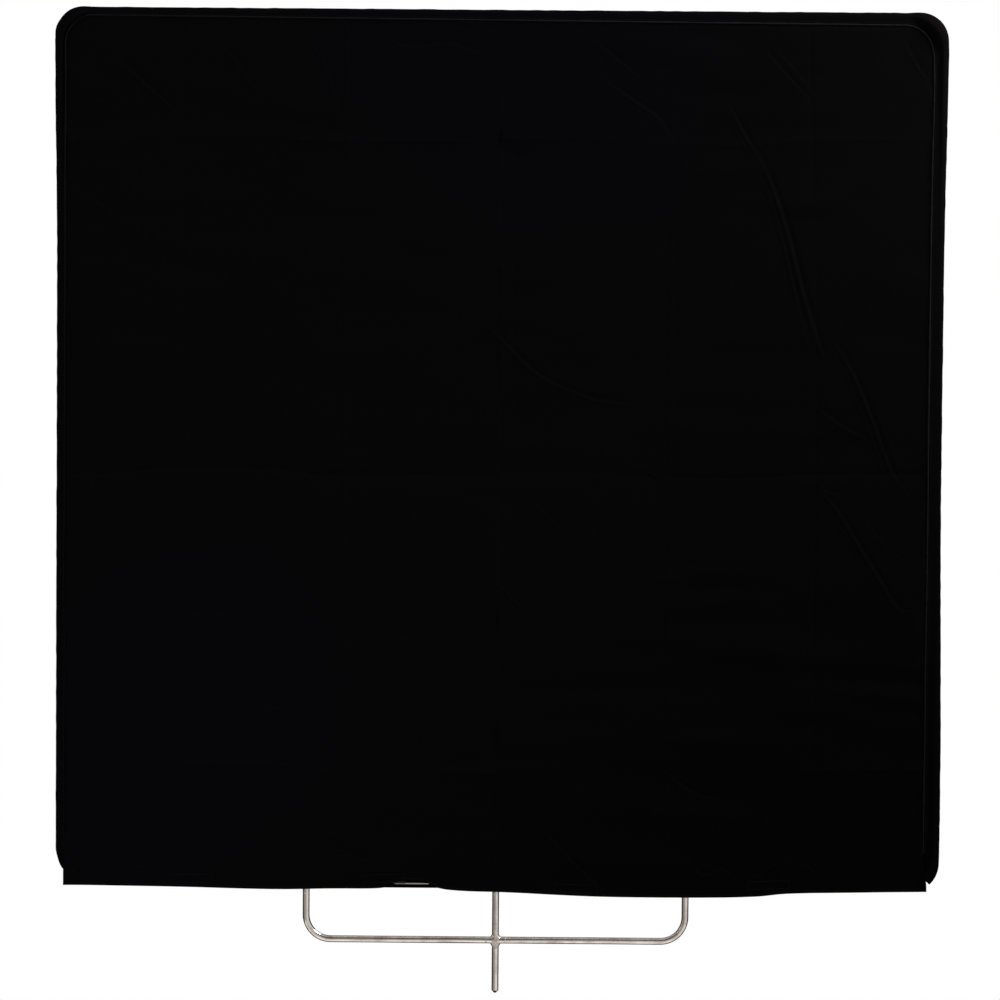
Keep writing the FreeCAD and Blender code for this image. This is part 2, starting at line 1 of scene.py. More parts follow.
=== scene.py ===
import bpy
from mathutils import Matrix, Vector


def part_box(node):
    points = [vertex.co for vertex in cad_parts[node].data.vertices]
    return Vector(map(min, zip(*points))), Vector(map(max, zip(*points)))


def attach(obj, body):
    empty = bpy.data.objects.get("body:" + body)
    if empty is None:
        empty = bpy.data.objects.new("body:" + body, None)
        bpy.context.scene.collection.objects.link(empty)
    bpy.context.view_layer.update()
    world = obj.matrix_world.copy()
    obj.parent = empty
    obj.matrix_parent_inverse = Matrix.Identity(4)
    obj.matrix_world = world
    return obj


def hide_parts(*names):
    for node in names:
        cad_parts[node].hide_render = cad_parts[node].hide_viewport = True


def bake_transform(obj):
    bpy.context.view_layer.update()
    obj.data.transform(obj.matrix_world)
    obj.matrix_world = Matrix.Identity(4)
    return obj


bl_info = {
    "name": "Flag frame",
    "version": (1, 0, 0),
    "blender": (4, 5, 0),
    "location": "3D View > Sidebar > Flag Frame",
    "description": "Dresses a steel flag frame in its slip-on black cloth cover, with a studio to view it in",
    "category": "Object",
}

import math

import bmesh
import bpy
import numpy as np
from bpy.props import FloatProperty, FloatVectorProperty, PointerProperty
from mathutils import Matrix, Vector

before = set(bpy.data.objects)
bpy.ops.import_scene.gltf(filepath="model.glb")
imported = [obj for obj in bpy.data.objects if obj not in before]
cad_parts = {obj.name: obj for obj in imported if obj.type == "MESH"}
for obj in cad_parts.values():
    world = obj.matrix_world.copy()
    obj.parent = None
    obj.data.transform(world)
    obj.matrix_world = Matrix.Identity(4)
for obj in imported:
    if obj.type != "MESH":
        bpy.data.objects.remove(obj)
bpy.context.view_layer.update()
MM = 0.001

# Places of the steel, from the frame. The cloth's front faces -Y.
RING_LOW, RING_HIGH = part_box("frame_ring")
ROD = (RING_HIGH.y - RING_LOW.y) / 2
SIDE_X = RING_HIGH.x - ROD
BAR_Z = RING_LOW.z + ROD
TOP_Z = RING_HIGH.z - ROD
RING_BEND = 48 * MM
YOKE_LOW, YOKE_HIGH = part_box("yoke")
YOKE_Z = YOKE_LOW.z + ROD
LEG_X = YOKE_HIGH.x - ROD
PIN_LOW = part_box("grip_pin")[0]

# Places of the cloth. OUTER is how far its outer face lies from the plane of the rods' centre lines.
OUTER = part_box("back_panel")[1].y
LIP_LOW, LIP_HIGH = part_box("front_lip")
SEAM_LOW, SEAM_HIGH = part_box("edge_seam")
# The seam's ridge: its width in the solids, and the narrower width that the photograph shows.
RIDGE = 3.2 * MM
RIDGE_DRAWN = 2.4 * MM
SEAM_LEFT = SEAM_LOW.x + RIDGE / 2
SEAM_RIGHT = SEAM_HIGH.x - RIDGE / 2
SEAM_TOP = SEAM_HIGH.z - RIDGE / 2
SEAM_SLANT = 6 * MM
SEAM_BEND = 38 * MM
# The rim's own bend where it is snug, and the fuller one of its three full corners.
RIM_BEND = RING_BEND + OUTER
FULL_CORNER = 38.5 * MM
# The lip, from its fold line down to where it lies over the wrapped bar.
LIP_Z = LIP_HIGH.z + 0.2 * MM
LIP_FACE = -LIP_LOW.y
LIP_KNEE_Z = BAR_Z + 18 * MM

# Lines that folding for storage left in the cover, seen from the front.
UPRIGHT_CREASES = [place * MM for place in (-436, -214, 20, 235, 437)]
CREASE_SHARES = (0.4, 1.0, 0.25, 1.0, 1.0)
LEVEL_CREASES = [BAR_Z + rise * MM for rise in (161, 572, 1031)]


def linear(colour):
    """An sRGB hex value as linear red, green and blue."""
    channels = [(colour >> shift & 255) / 255 for shift in (16, 8, 0)]
    return tuple(c / 12.92 if c <= 0.04045 else ((c + 0.055) / 1.055) ** 2.4 for c in channels)


class FlagClothSizes(bpy.types.PropertyGroup):
    thickness: FloatProperty(
        name="Thickness", description="Of the cotton cloth", default=0.7 * MM, unit="LENGTH")
    grid_step: FloatProperty(
        name="Grid step", description="Between the mesh lines of the cloth", default=2.1 * MM, unit="LENGTH")
    bulge: FloatProperty(
        name="Bulge", description="How far a bay stands out between creases", default=0.9 * MM, unit="LENGTH")
    crease: FloatProperty(
        name="Crease", description="Height of a storage crease", default=0.6 * MM, unit="LENGTH")
    crease_width: FloatProperty(
        name="Crease width", description="Half width of a storage crease", default=2.2 * MM, unit="LENGTH")
    wrinkle: FloatProperty(
        name="Wrinkle", description="Height of the pulled wrinkles", default=1.2 * MM, unit="LENGTH")
    wrinkle_width: FloatProperty(
        name="Wrinkle width", description="Half width of a pulled wrinkle", default=1.7 * MM, unit="LENGTH")
    ripple: FloatProperty(
        name="Ripple", description="Height of the slack ripples low down", default=2.1 * MM, unit="LENGTH")
    hem: FloatProperty(
        name="Hem", description="Width of the turned-up edge", default=3.5 * MM, unit="LENGTH")
    colour: FloatVectorProperty(
        name="Cloth", description="Dyed black", size=3, subtype="COLOR",
        min=0, max=1, default=linear(0x050505))
    cold_colour: FloatVectorProperty(
        name="Cloth, cold", description="Where the dye turns blue", size=3, subtype="COLOR",
        min=0, max=1, default=linear(0x050507))
    warm_colour: FloatVectorProperty(
        name="Cloth, warm", description="Where the dye turns brown", size=3, subtype="COLOR",
        min=0, max=1, default=linear(0x070606))


class FlagSewingSizes(bpy.types.PropertyGroup):
    ridge_height: FloatProperty(
        name="Ridge height", description="Of the turned-in seam", default=2.0 * MM, unit="LENGTH")
    stitch_pitch: FloatProperty(
        name="Stitch pitch", description="Between stitches", default=3.4 * MM, unit="LENGTH")
    stitch_length: FloatProperty(
        name="Stitch length", description="Thread that shows", default=2.5 * MM, unit="LENGTH")
    thread: FloatProperty(
        name="Thread", description="Diameter of the thread", default=0.5 * MM, unit="LENGTH")
    colour: FloatVectorProperty(
        name="Thread colour", description="Black polyester", size=3, subtype="COLOR",
        min=0, max=1, default=linear(0x121215))


class FlagSteelSizes(bpy.types.PropertyGroup):
    fillet: FloatProperty(
        name="Fillet", description="How widely the weld blends two rods", default=10 * MM, unit="LENGTH")
    stub: FloatProperty(
        name="Stub", description="Rod that the weld runs out along", default=15 * MM, unit="LENGTH")
    colour: FloatVectorProperty(
        name="Steel", description="Bright drawn stainless steel", size=3, subtype="COLOR",
        min=0, max=1, default=linear(0xD6CFC8))
    streak_colour: FloatVectorProperty(
        name="Steel, handled", description="Where hands and clamps dulled it", size=3, subtype="COLOR",
        min=0, max=1, default=linear(0x9A8F88))


class FlagStudioSizes(bpy.types.PropertyGroup):
    camera_distance: FloatProperty(
        name="Camera distance", description="In front of the frame", default=9.0, unit="LENGTH")
    camera_side: FloatProperty(
        name="Camera side", description="Right of the stem", default=23 * MM, unit="LENGTH")
    camera_height: FloatProperty(
        name="Camera height", description="Above the middle of the grip", default=1.34, unit="LENGTH")
    camera_tilt: FloatProperty(
        name="Camera tilt", description="Downwards", default=math.radians(4.363), subtype="ANGLE")
    camera_turn: FloatProperty(
        name="Camera turn", description="To the left", default=math.radians(0.135), subtype="ANGLE")
    camera_roll: FloatProperty(
        name="Camera roll", description="Right side up", default=math.radians(0.441), subtype="ANGLE")
    focal_share: FloatProperty(
        name="Focal length", description="As a share of the sensor's width", default=6.538)
    floor_drop: FloatProperty(
        name="Floor drop", description="Floor below the grip pin", default=0.9, unit="LENGTH")
    lamp_level: FloatProperty(
        name="Lamp level", description="Plain level on the cloth, of 1", default=0.69)
    sky_level: FloatProperty(
        name="Sky level", description="Light from all round, of 1", default=0.25)


def add_node(tree, kind, links=(), **settings):
    """Adds a shader node, with settings by property or input name and links by input name."""
    made = tree.nodes.new(f"ShaderNode{kind}")
    for name, value in settings.items():
        if hasattr(made, name):
            setattr(made, name, value)
        else:
            made.inputs[name.replace("_", " ")].default_value = value
    for name, socket in dict(links).items():
        tree.links.new(socket, made.inputs[name])
    return made


def new_material(name):
    material = bpy.data.materials.new(name)
    material.use_nodes = True
    tree = material.node_tree
    tree.nodes.clear()
    return material, tree


def lattice(x, z, size, seed):
    """Smooth random heights from -1 to 1 over the plane, as large as size."""
    table = np.random.default_rng(seed).uniform(-1, 1, (97, 97))
    across = (x / size) % 96
    up = (z / size) % 96
    column = np.minimum(across.astype(int), 95)
    row = np.minimum(up.astype(int), 95)
    s = across - column
    t = up - row
    s = s * s * (3 - 2 * s)
    t = t * t * (3 - 2 * t)
    low = table[row, column] * (1 - s) + table[row, column + 1] * s
    high = table[row + 1, column] * (1 - s) + table[row + 1, column + 1] * s
    return low * (1 - t) + high * t


def step(value, low, high):
    """0 below low and 1 above high, smooth between."""
    share = np.clip((value - low) / (high - low), 0, 1)
    return share * share * (3 - 2 * share)


def smooth_line(points, spans=10):
    """A curve through given points, as close points along it."""
    lead = 2 * np.array(points[0]) - points[1]
    trail = 2 * np.array(points[-1]) - points[-2]
    ends = [lead, *map(np.array, points), trail]
    line = []
    for before, start, end, after in zip(ends, ends[1:], ends[2:], ends[3:]):
        for share in np.arange(spans) / spans:
            line.append(start + 0.5 * share * (end - before + share * (
                2 * before - 5 * start + 4 * end - after + share * (3 * (start - end) + after - before))))
    return np.array([*line, ends[-2]])


# Pulled wrinkles in the front: (strength, points), millimetres right of the stem and above the bar.
WRINKLES = [
    (1.0, [(313, 1076), (336, 1035), (351, 1013)]),
    (1.6, [(351, 1013), (371, 971), (392, 910), (414, 828), (445, 728)]),
    (0.8, [(389, 890), (407, 811), (428, 733)]),
    (1.4, [(461, 752), (484, 715), (512, 650), (540, 577), (560, 549)]),
    (0.9, [(438, 664), (470, 640), (512, 618)]),
    (1.4, [(444, 549), (467, 521), (499, 470), (527, 425), (551, 388), (576, 382)]),
    (0.6, [(490, 526), (532, 476), (560, 455), (575, 450)]),
    (1.0, [(-24, 780), (13, 743), (54, 706), (100, 684), (141, 671), (188, 667)]),
    (1.0, [(226, 162), (258, 137), (281, 124), (312, 122)]),
    (0.6, [(281, 124), (330, 93), (366, 76)]),
    (1.0, [(40, 99), (65, 75), (102, 34), (147, -8)]),
    (0.6, [(-279, 76), (-217, 45), (-155, 21)]),
    (0.7, [(357, 1160), (388, 1124), (426, 1084)]),
    (0.5, [(370, 1164), (402, 1128), (431, 1094)]),
    (0.7, [(117, 1172), (152, 1146), (193, 1114)]),
    (0.9, [(144, 1110), (185, 1082), (213, 1063), (233, 1034)]),
    (0.9, [(-533, 1139), (-496, 1107), (-445, 1063)]),
    (0.7, [(-400, 1172), (-372, 1142), (-341, 1100)]),
    (0.6, [(-276, 1170), (-249, 1142), (-235, 1105), (-221, 1050)]),
    (0.8, [(-157, 1167), (-129, 1156), (-70, 1160), (-24, 1145)]),
    (0.7, [(-596, 964), (-556, 940), (-520, 918), (-483, 884)]),
    (0.5, [(-596, 1084), (-552, 1080), (-514, 1063)]),
    (0.8, [(550, 1170), (567, 1139), (584, 1115)]),
    (0.5, [(-300, 1028), (-262, 1030), (-225, 1037), (-213, 1036)]),
    (0.5, [(8, 574), (30, 548), (64, 517), (105, 470)]),
    (0.6, [(-10, 430), (22, 394), (60, 360)]),
    (0.6, [(280, 300), (310, 285), (330, 290)]),
    (0.6, [(228, 560), (210, 572), (186, 580)]),
    (0.9, [(440, 560), (452, 548), (470, 545)]),
    (1.4, [(345, 26), (362, 12), (385, 30), (402, 44)]),
    (1.2, [(262, 40), (287, 14), (312, 22), (335, 8)]),
    (1.1, [(425, 32), (440, 20), (452, 26)]),
    (0.9, [(-597, 46), (-593, 27), (-585, 14), (-572, 3)]),
]

# The same for the back of the cover, right of the stem as seen from the front.
BACK_WRINKLES = [
    (0.8, [(-560, 1130), (-470, 1040), (-430, 930), (-415, 800)]),
    (0.7, [(560, 1120), (500, 1060), (430, 1010)]),
    (0.7, [(-540, 520), (-460, 470), (-380, 455)]),
    (0.6, [(-560, 90), (-480, 130), (-380, 150), (-260, 150)]),
    (0.7, [(580, 260), (520, 180), (430, 130)]),
    (0.5, [(60, 760), (140, 700), (230, 690)]),
    (0.5, [(-120, 1170), (-60, 1110), (20, 1080)]),
]

# The lip's lower edge: millimetres right of the stem, and below the bottom bar's centre.
LIP_EDGE = [
    (-600, 4), (-560, 4), (-450, 5), (-312, 7.5), (-230, 6), (-165, 5), (-150, 1), (-138, -4.4), (-118, -5.4),
    (-99, -4.4), (-87, 1), (-72, 5.5), (-40, 8), (20, 9.5), (130, 14), (240, 15), (350, 13), (410, 8),
    (520, 5.5), (600, 4),
]
# Middle of the stretch where the lip gapes and the bottom bar shows under it.
GAPE_X = -116 * MM

# Slopes of the stitched outlines round tapes 1 to 4, which were sewn by eye.
TAPE_TILTS = (0.01, 0.035, -0.01, 0.03)


def wrinkle_heights(x, z, wrinkles, sizes, hand=1):
    """Ridges along the wrinkles' lines, each with a hollow on one side and a faint ridge on the other."""
    height = np.zeros_like(x)
    for strength, points in wrinkles:
        line = smooth_line([(across * MM, BAR_Z + up * MM) for across, up in points])
        runs = np.linalg.norm(np.diff(line, axis=0), axis=1)
        along = np.concatenate([[0], np.cumsum(runs)]) / runs.sum()
        width = sizes.wrinkle_width * (0.7 + 0.5 * strength)
        near = (np.abs(x - line[:, 0].mean()) < np.ptp(line[:, 0]) / 2 + 6 * width)
        near &= (np.abs(z - line[:, 1].mean()) < np.ptp(line[:, 1]) / 2 + 6 * width)
        px = x[near]
        pz = z[near]
        best = np.full(px.shape, math.inf)
        side = np.zeros(px.shape)
        place = np.zeros(px.shape)
        for start, end, first, last in zip(line, line[1:], along, along[1:]):
            run = end - start
            share = np.clip(((px - start[0]) * run[0] + (pz - start[1]) * run[1]) / (run @ run), 0, 1)
            away_x = px - start[0] - share * run[0]
            away_z = pz - start[1] - share * run[1]
            distance = np.hypot(away_x, away_z)
            closer = distance < best
            best[closer] = distance[closer]
            side[closer] = np.sign(away_x * run[1] - away_z * run[0])[closer] * hand
            place[closer] = (first + (last - first) * share)[closer]
        offset = best * side
        taper = np.sqrt(np.clip(np.sin(np.pi * np.clip(place, 0.02, 0.98)), 0, 1))
        ridge = np.exp(-(offset / width) ** 2) - 0.7 * np.exp(-((offset + 1.9 * width) / (1.4 * width)) ** 2)
        ridge += 0.4 * np.exp(-((offset - 3.4 * width) / (0.9 * width)) ** 2)
        height[near] += strength * sizes.wrinkle * taper * ridge
    return height


def bay_heights(x, z, left, right, top, sizes):
    """Cloth that stands out between its storage creases, with the creases' own sharp lines."""
    # The last upright crease leans to the left near the top.
    lean = 14 * MM * step(z, BAR_Z + 0.75, BAR_Z + 1.2)
    last = UPRIGHT_CREASES[-1] - lean
    stations = [np.full_like(x, place) for place in (left, *UPRIGHT_CREASES[:-1])] + [last]
    stations.append(np.full_like(x, right))
    across = np.zeros_like(x)
    for start, end in zip(stations, stations[1:]):
        share = (x - start) / (end - start)
        inside = (share >= 0) & (share <= 1)
        across[inside] = (4 * share * (1 - share))[inside]
    # A bay keeps a third of its bulge at a level crease, and none at the lip's fold and the top.
    levels = [LIP_Z, *LEVEL_CREASES, top]
    kept = 0.35
    up = np.zeros_like(z)
    for number, (start, end) in enumerate(zip(levels, levels[1:])):
        share = (z - start) / (end - start)
        inside = (share >= 0) & (share <= 1)
        low_share = 0.0 if number == 0 else kept
        high_share = 0.0 if number == len(levels) - 2 else kept
        floor_share = low_share + (high_share - low_share) * share
        arch = np.sqrt(np.clip(4 * share * (1 - share), 0, 1))
        up[inside] = (floor_share + (1 - floor_share) * arch)[inside]
    uneven = 0.75 + 0.35 * lattice(x, z, 0.19, 11)
    height = sizes.bulge * across * up * uneven
    for number, station in enumerate(stations[1:-1]):
        turn = CREASE_SHARES[number] * (1 if number % 2 else -1)
        fade = 0.45 + 0.55 * step(lattice(x * 0 + number, z, 0.16, 21), -0.5, 0.4)
        height += turn * sizes.crease * fade * np.exp(-np.abs(x - station) / sizes.crease_width)
    for number, level in enumerate(LEVEL_CREASES):
        turn = -1 if number % 2 else 1
        fade = 0.35 + 0.65 * step(lattice(x, z * 0 + number, 0.17, 22), -0.6, 0.5)
        sag = level + 6 * MM * lattice(x, z * 0, 0.11, 23)
        level_crease = 3.0 * sizes.crease * np.exp(-np.abs(z - sag) / (3.2 * sizes.crease_width))
        height += turn * fade * level_crease
    return height


def seam_depth(x, z):
    """How far inside the seam line a point of the cover's front lies, negative outside it."""
    top = SEAM_TOP - SEAM_SLANT * (x - SEAM_LEFT) / (SEAM_RIGHT - SEAM_LEFT)
    side = np.minimum(x - seam_edge(z, SEAM_LEFT, 31, -1), seam_edge(z, SEAM_RIGHT, 32, 1) - x)
    under = top - z
    corner = SEAM_BEND - np.hypot(np.maximum(SEAM_BEND - side, 0), np.maximum(SEAM_BEND - under, 0))
    return np.where((side < SEAM_BEND) & (under < SEAM_BEND), corner, np.minimum(side, under))


def seam_edge(z, edge, seed, outwards):
    """The seam line's place left or right: it wanders a little, and bows out high on the right."""
    wander = 0.9 * MM * lattice(z, z * 0 + 0.5, 0.11, seed) * step(SEAM_TOP - z, 0.02, 0.09)
    bow = 2.4 * MM * np.exp(-((z - SEAM_TOP + 0.10) / 0.07) ** 2) if outwards > 0 else 0
    return edge + wander + outwards * bow


def front_height(x, z, sizes):
    """How far the front of the cover stands out from its plane, without the lip's own step."""
    inside = np.maximum(seam_depth(x, z), 0)
    height = bay_heights(x, z, SEAM_LEFT, SEAM_RIGHT, SEAM_TOP - SEAM_SLANT / 2, sizes)
    height += wrinkle_heights(x, z, WRINKLES, sizes)
    slack = step(x, 0.02, 0.3) * step(BAR_Z + 0.56 - z, 0, 0.12) * step(z, LIP_Z, LIP_Z + 0.08)
    sway = z + 12 * MM * lattice(x, z, 0.16, 41)
    height += sizes.ripple * slack * lattice(x * 0.16, sway, 0.024, 42)
    height += 0.5 * sizes.ripple * lattice(x * 0.25, sway, 0.026, 46)
    height += 0.8 * MM * lattice(x, z, 0.13, 43) + 0.3 * MM * lattice(x, z, 0.045, 44)
    near_crease = np.min([np.abs(x - place) for place in UPRIGHT_CREASES], axis=0)
    crinkle = lattice(x * 0.35, z, 0.0085, 47) * step(lattice(x, z, 0.07, 48), 0.1, 0.5)
    height += 0.32 * MM * crinkle * np.exp(-(near_crease / (26 * MM)) ** 2)
    rim_pull = np.exp(-inside / (14 * MM))
    height += 0.5 * MM * rim_pull * lattice(x, z, 0.017, 45)
    return height * step(inside, 0, 9 * MM)


def lip_step(z):
    """The lip's slope out over the bar's wrapped flaps, from the fold line down."""
    ease = 40 * MM
    return (LIP_FACE - OUTER) * step(LIP_Z + ease - z, 0, LIP_Z - LIP_KNEE_Z + ease)


def lip_edge_z(x):
    edge = smooth_line(LIP_EDGE, 8)
    return BAR_Z - np.interp(x, edge[:, 0] * MM, edge[:, 1] * MM)


def lip_height(x, z):
    """Limp waves of the lip, which grow towards its edge and where it hangs slack on the right."""
    loose = step(LIP_Z - z, 0, LIP_Z - BAR_Z)
    crumple = np.exp(-((x - 350 * MM) / (110 * MM)) ** 2)
    wave = 0.7 * MM * lattice(x, z * 0.3, 0.055, 51) + 2.0 * MM * crumple * lattice(x, z * 0.8, 0.022, 52)
    return loose * (wave + 0.9 * MM)


def front_face(x, z, sizes):
    """The front cloth's outer face as a distance before the plane y = 0."""
    x = np.asarray(x, float)
    z = np.asarray(z, float)
    return OUTER + lip_step(z) + lip_height(x, z) + front_height(x, z, sizes)


def spaced(places, gap, extra=0):
    """Numbers from the first place to the last with all between, closer beside the inner places."""
    found = []
    for start, end in zip(places, places[1:]):
        found.extend(np.linspace(start, end, max(2, round((end - start) / gap)), endpoint=False))
    found.append(places[-1])
    for place in places[1:-1]:
        found.extend([place - extra, place + extra])
    return np.unique(np.round(found, 6))


def round_corner(x, z, corner_x, corner_z, radius):
    """Draws a square corner of a grid in to a round one. The corner's place is where the edges meet."""
    centre_x = corner_x - math.copysign(radius, corner_x)
    centre_z = corner_z - radius if corner_z > (BAR_Z + TOP_Z) / 2 else corner_z + radius
    across = (x - centre_x) / (corner_x - centre_x)
    up = (z - centre_z) / (corner_z - centre_z)
    inside = (across > 0) & (up > 0)
    new_across = across * np.sqrt(1 - np.clip(up, 0, 1) ** 2 / 2)
    new_up = up * np.sqrt(1 - np.clip(across, 0, 1) ** 2 / 2)
    x[inside] = (centre_x + new_across * (corner_x - centre_x))[inside]
    z[inside] = (centre_z + new_up * (corner_z - centre_z))[inside]


def grid_faces(rows, columns, closed=False):
    """Quads of a grid whose points run along each row, and of a ring of them if closed."""
    faces = []
    last = columns if closed else columns - 1
    for row in range(rows - 1):
        for column in range(last):
            right = (column + 1) % columns
            faces.append((row * columns + column, row * columns + right,
                          (row + 1) * columns + right, (row + 1) * columns + column))
    return faces


def mesh_object(name, points, faces, material, smooth=True):
    mesh = bpy.data.meshes.new(name)
    mesh.from_pydata([tuple(p) for p in points], [], [tuple(f) for f in faces])
    mesh.validate()
    if smooth:
        mesh.shade_smooth()
    mesh.materials.append(material)
    made = bpy.data.objects.new(name, mesh)
    bpy.context.scene.collection.objects.link(made)
    return made


def thicken(piece, thickness):
    """Gives a sheet its two faces and its cut edges, the drawn face in the middle."""
    solid = piece.modifiers.new("cloth_thickness", "SOLIDIFY")
    solid.thickness = thickness
    solid.offset = 0
    solid.use_even_offset = False
    return piece


def napped_cotton(name, sizes, wear_and_highlight=0.0):
    """Black cotton, woven and brushed: nearly no gloss, a faint uneven dye, painted shade low on the right,
    and grey on the seam's ridge that is partly from abrasion and partly a painted highlight.
    """
    material, tree = new_material(name)
    place = add_node(tree, "TexCoord").outputs["Object"]
    parts = add_node(tree, "SeparateXYZ", {"Vector": place})
    dye = add_node(tree, "TexNoise", {"Vector": place}, Scale=1.3, Detail=3.0, Roughness=0.5)
    # The dye turns blue in two places: high in the middle, and low on the left.
    cold_spots = [(20 * MM, 0, 1250 * MM), (-460 * MM, 0, 320 * MM)]
    patches = []
    for spot in cold_spots:
        away = add_node(tree, "VectorMath", {0: place}, operation="DISTANCE")
        away.inputs[1].default_value = spot
        patches.append(add_node(tree, "MapRange", {"Value": away.outputs["Value"]},
                                From_Min=0.5, From_Max=0.12).outputs["Result"])
    both = add_node(tree, "Math", {0: patches[0], 1: patches[1]}, operation="MAXIMUM")
    mottled = add_node(tree, "Math", {0: both.outputs["Value"], 1: dye.outputs["Fac"]}, operation="MULTIPLY")
    cold_share = add_node(tree, "MapRange", {"Value": mottled.outputs["Value"]}, From_Min=0.1, From_Max=0.42)
    cold = add_node(tree, "Mix", {"Factor": cold_share.outputs["Result"]}, data_type="RGBA")
    cold.inputs["A"].default_value = (*sizes.colour, 1)
    cold.inputs["B"].default_value = (*sizes.cold_colour, 1)
    warm_share = add_node(tree, "MapRange", {"Value": parts.outputs["X"]}, From_Min=0.35, From_Max=0.65)
    warm = add_node(tree, "Mix", {"Factor": warm_share.outputs["Result"], "A": cold.outputs["Result"]},
                    data_type="RGBA")
    warm.inputs["B"].default_value = (*sizes.warm_colour, 1)
    # Painted shade: darker low on the right, where the slack cloth tilts down away from the lamps.
    slant = add_node(tree, "Math", {0: parts.outputs["X"], 1: parts.outputs["Z"]}, operation="SUBTRACT")
    painted_shade_share = add_node(tree, "MapRange", {"Value": slant.outputs["Value"]},
                          From_Min=-0.6, From_Max=0.35, To_Max=0.74)
    colour = add_node(tree, "Mix", {"Factor": painted_shade_share.outputs["Result"], "A": warm.outputs["Result"]},
                      data_type="RGBA")
    colour.inputs["B"].default_value = (*linear(0x020202), 1)
    if wear_and_highlight:
        # Grey along the seam's ridge: partly abrasion, partly a painted highlight that rises towards the
        # upper right, where the key lamp is.
        height = add_node(tree, "Math", {0: parts.outputs["X"], 1: parts.outputs["Z"]}, operation="ADD")
        wear_and_highlight_share = add_node(tree, "MapRange", {"Value": height.outputs["Value"]},
                          From_Min=0.1, From_Max=1.5, To_Min=0.1 * wear_and_highlight, To_Max=wear_and_highlight)
        worn_and_highlit = add_node(tree, "Mix", {"Factor": wear_and_highlight_share.outputs["Result"], "A": colour.outputs["Result"]},
                        data_type="RGBA")
        worn_and_highlit.inputs["B"].default_value = (*linear(0x2A2A2C), 1)
        colour = worn_and_highlit
    # The threads are 0.4 mm apart in such cloth. They are drawn at 1.3 mm, so that they show.
    thread_gap = 1.3 * MM
    scale = 2 * math.pi / 20 / thread_gap
    warp = add_node(tree, "TexWave", {"Vector": place}, wave_type="BANDS", bands_direction="X",
                    Scale=scale, Distortion=1.2, Detail=1.0)
    weft = add_node(tree, "TexWave", {"Vector": place}, wave_type="BANDS", bands_direction="Z",
                    Scale=scale, Distortion=1.2, Detail=1.0)
    weave = add_node(tree, "Math", {0: warp.outputs["Fac"], 1: weft.outputs["Fac"]}, operation="MULTIPLY")
    nap = add_node(tree, "TexNoise", {"Vector": place}, Scale=900.0, Detail=4.0, Roughness=0.7)
    surface = add_node(tree, "Math", {0: weave.outputs["Value"], 1: nap.outputs["Fac"]}, operation="ADD")
    bump = add_node(tree, "Bump", {"Height": surface.outputs["Value"]}, Strength=0.35, Distance=0.12 * MM)
    fuzz = add_node(tree, "MapRange", {"Value": nap.outputs["Fac"]}, To_Min=0.78, To_Max=1.0)
    shader = add_node(
        tree, "BsdfPrincipled",
        {"Base Color": colour.outputs["Result"], "Normal": bump.outputs["Normal"],
         "Roughness": fuzz.outputs["Result"]},
        Specular_IOR_Level=0.004, Sheen_Weight=0.001, Sheen_Roughness=0.4)
    shader.inputs["Sheen Tint"].default_value = (*linear(0xB8BCC8), 1)
    add_node(tree, "OutputMaterial", {"Surface": shader.outputs["BSDF"]})
    return material


def cotton():
    made = bpy.data.materials.get("napped_black_cotton")
    return made or napped_cotton("napped_black_cotton", bpy.context.scene.flag_cloth)


# Cotton for the seam's ridge: its grey is partly abrasion and partly a painted highlight.
def worn_highlit_cotton():
    made = bpy.data.materials.get("worn_highlit_black_cotton")
    return made or napped_cotton("worn_highlit_black_cotton", bpy.context.scene.flag_cloth, wear_and_highlight=0.22)


def spun_thread():
    """Black polyester sewing thread, twisted: a thin bright line along each stitch."""
    made = bpy.data.materials.get("spun_polyester_thread")
    if made:
        return made
    sewing = bpy.context.scene.flag_sewing
    material, tree = new_material("spun_polyester_thread")
    place = add_node(tree, "TexCoord").outputs["Object"]
    # Two plies, twisted every 0.9 mm.
    twist_gap = 0.9 * MM
    twist = add_node(tree, "TexWave", {"Vector": place}, wave_type="BANDS", bands_direction="DIAGONAL",
                     Scale=2 * math.pi / 20 / twist_gap)
    bump = add_node(tree, "Bump", {"Height": twist.outputs["Fac"]}, Strength=0.5, Distance=0.05 * MM)
    tone = add_node(tree, "TexNoise", {"Vector": place}, Scale=40.0)
    colour = add_node(tree, "Mix", {"Factor": tone.outputs["Fac"]}, data_type="RGBA")
    colour.inputs["A"].default_value = (*sewing.colour, 1)
    colour.inputs["B"].default_value = (*linear(0x101013), 1)
    shader = add_node(
        tree, "BsdfPrincipled", {"Base Color": colour.outputs["Result"], "Normal": bump.outputs["Normal"]},
        Roughness=0.5, Specular_IOR_Level=0.03)
    add_node(tree, "OutputMaterial", {"Surface": shader.outputs["BSDF"]})
    return material


def woven_nylon(name, colour_hex, gloss):
    """Nylon tape, woven: finer and shinier than the cotton round it."""
    material, tree = new_material(name)
    place = add_node(tree, "TexCoord").outputs["Object"]
    thread_gap = 0.8 * MM
    weave = add_node(tree, "TexWave", {"Vector": place}, wave_type="BANDS", bands_direction="DIAGONAL",
                     Scale=2 * math.pi / 20 / thread_gap, Distortion=0.8)
    bump = add_node(tree, "Bump", {"Height": weave.outputs["Fac"]}, Strength=0.4, Distance=0.08 * MM)
    tone = add_node(tree, "TexNoise", {"Vector": place}, Scale=120.0, Detail=3.0)
    colour = add_node(tree, "Mix", {"Factor": tone.outputs["Fac"]}, data_type="RGBA")
    colour.inputs["A"].default_value = (*linear(colour_hex), 1)
    colour.inputs["B"].default_value = (*linear(0x060607), 1)
    shader = add_node(
        tree, "BsdfPrincipled", {"Base Color": colour.outputs["Result"], "Normal": bump.outputs["Normal"]},
        Roughness=gloss, Specular_IOR_Level=0.3)
    add_node(tree, "OutputMaterial", {"Surface": shader.outputs["BSDF"]})
    return material


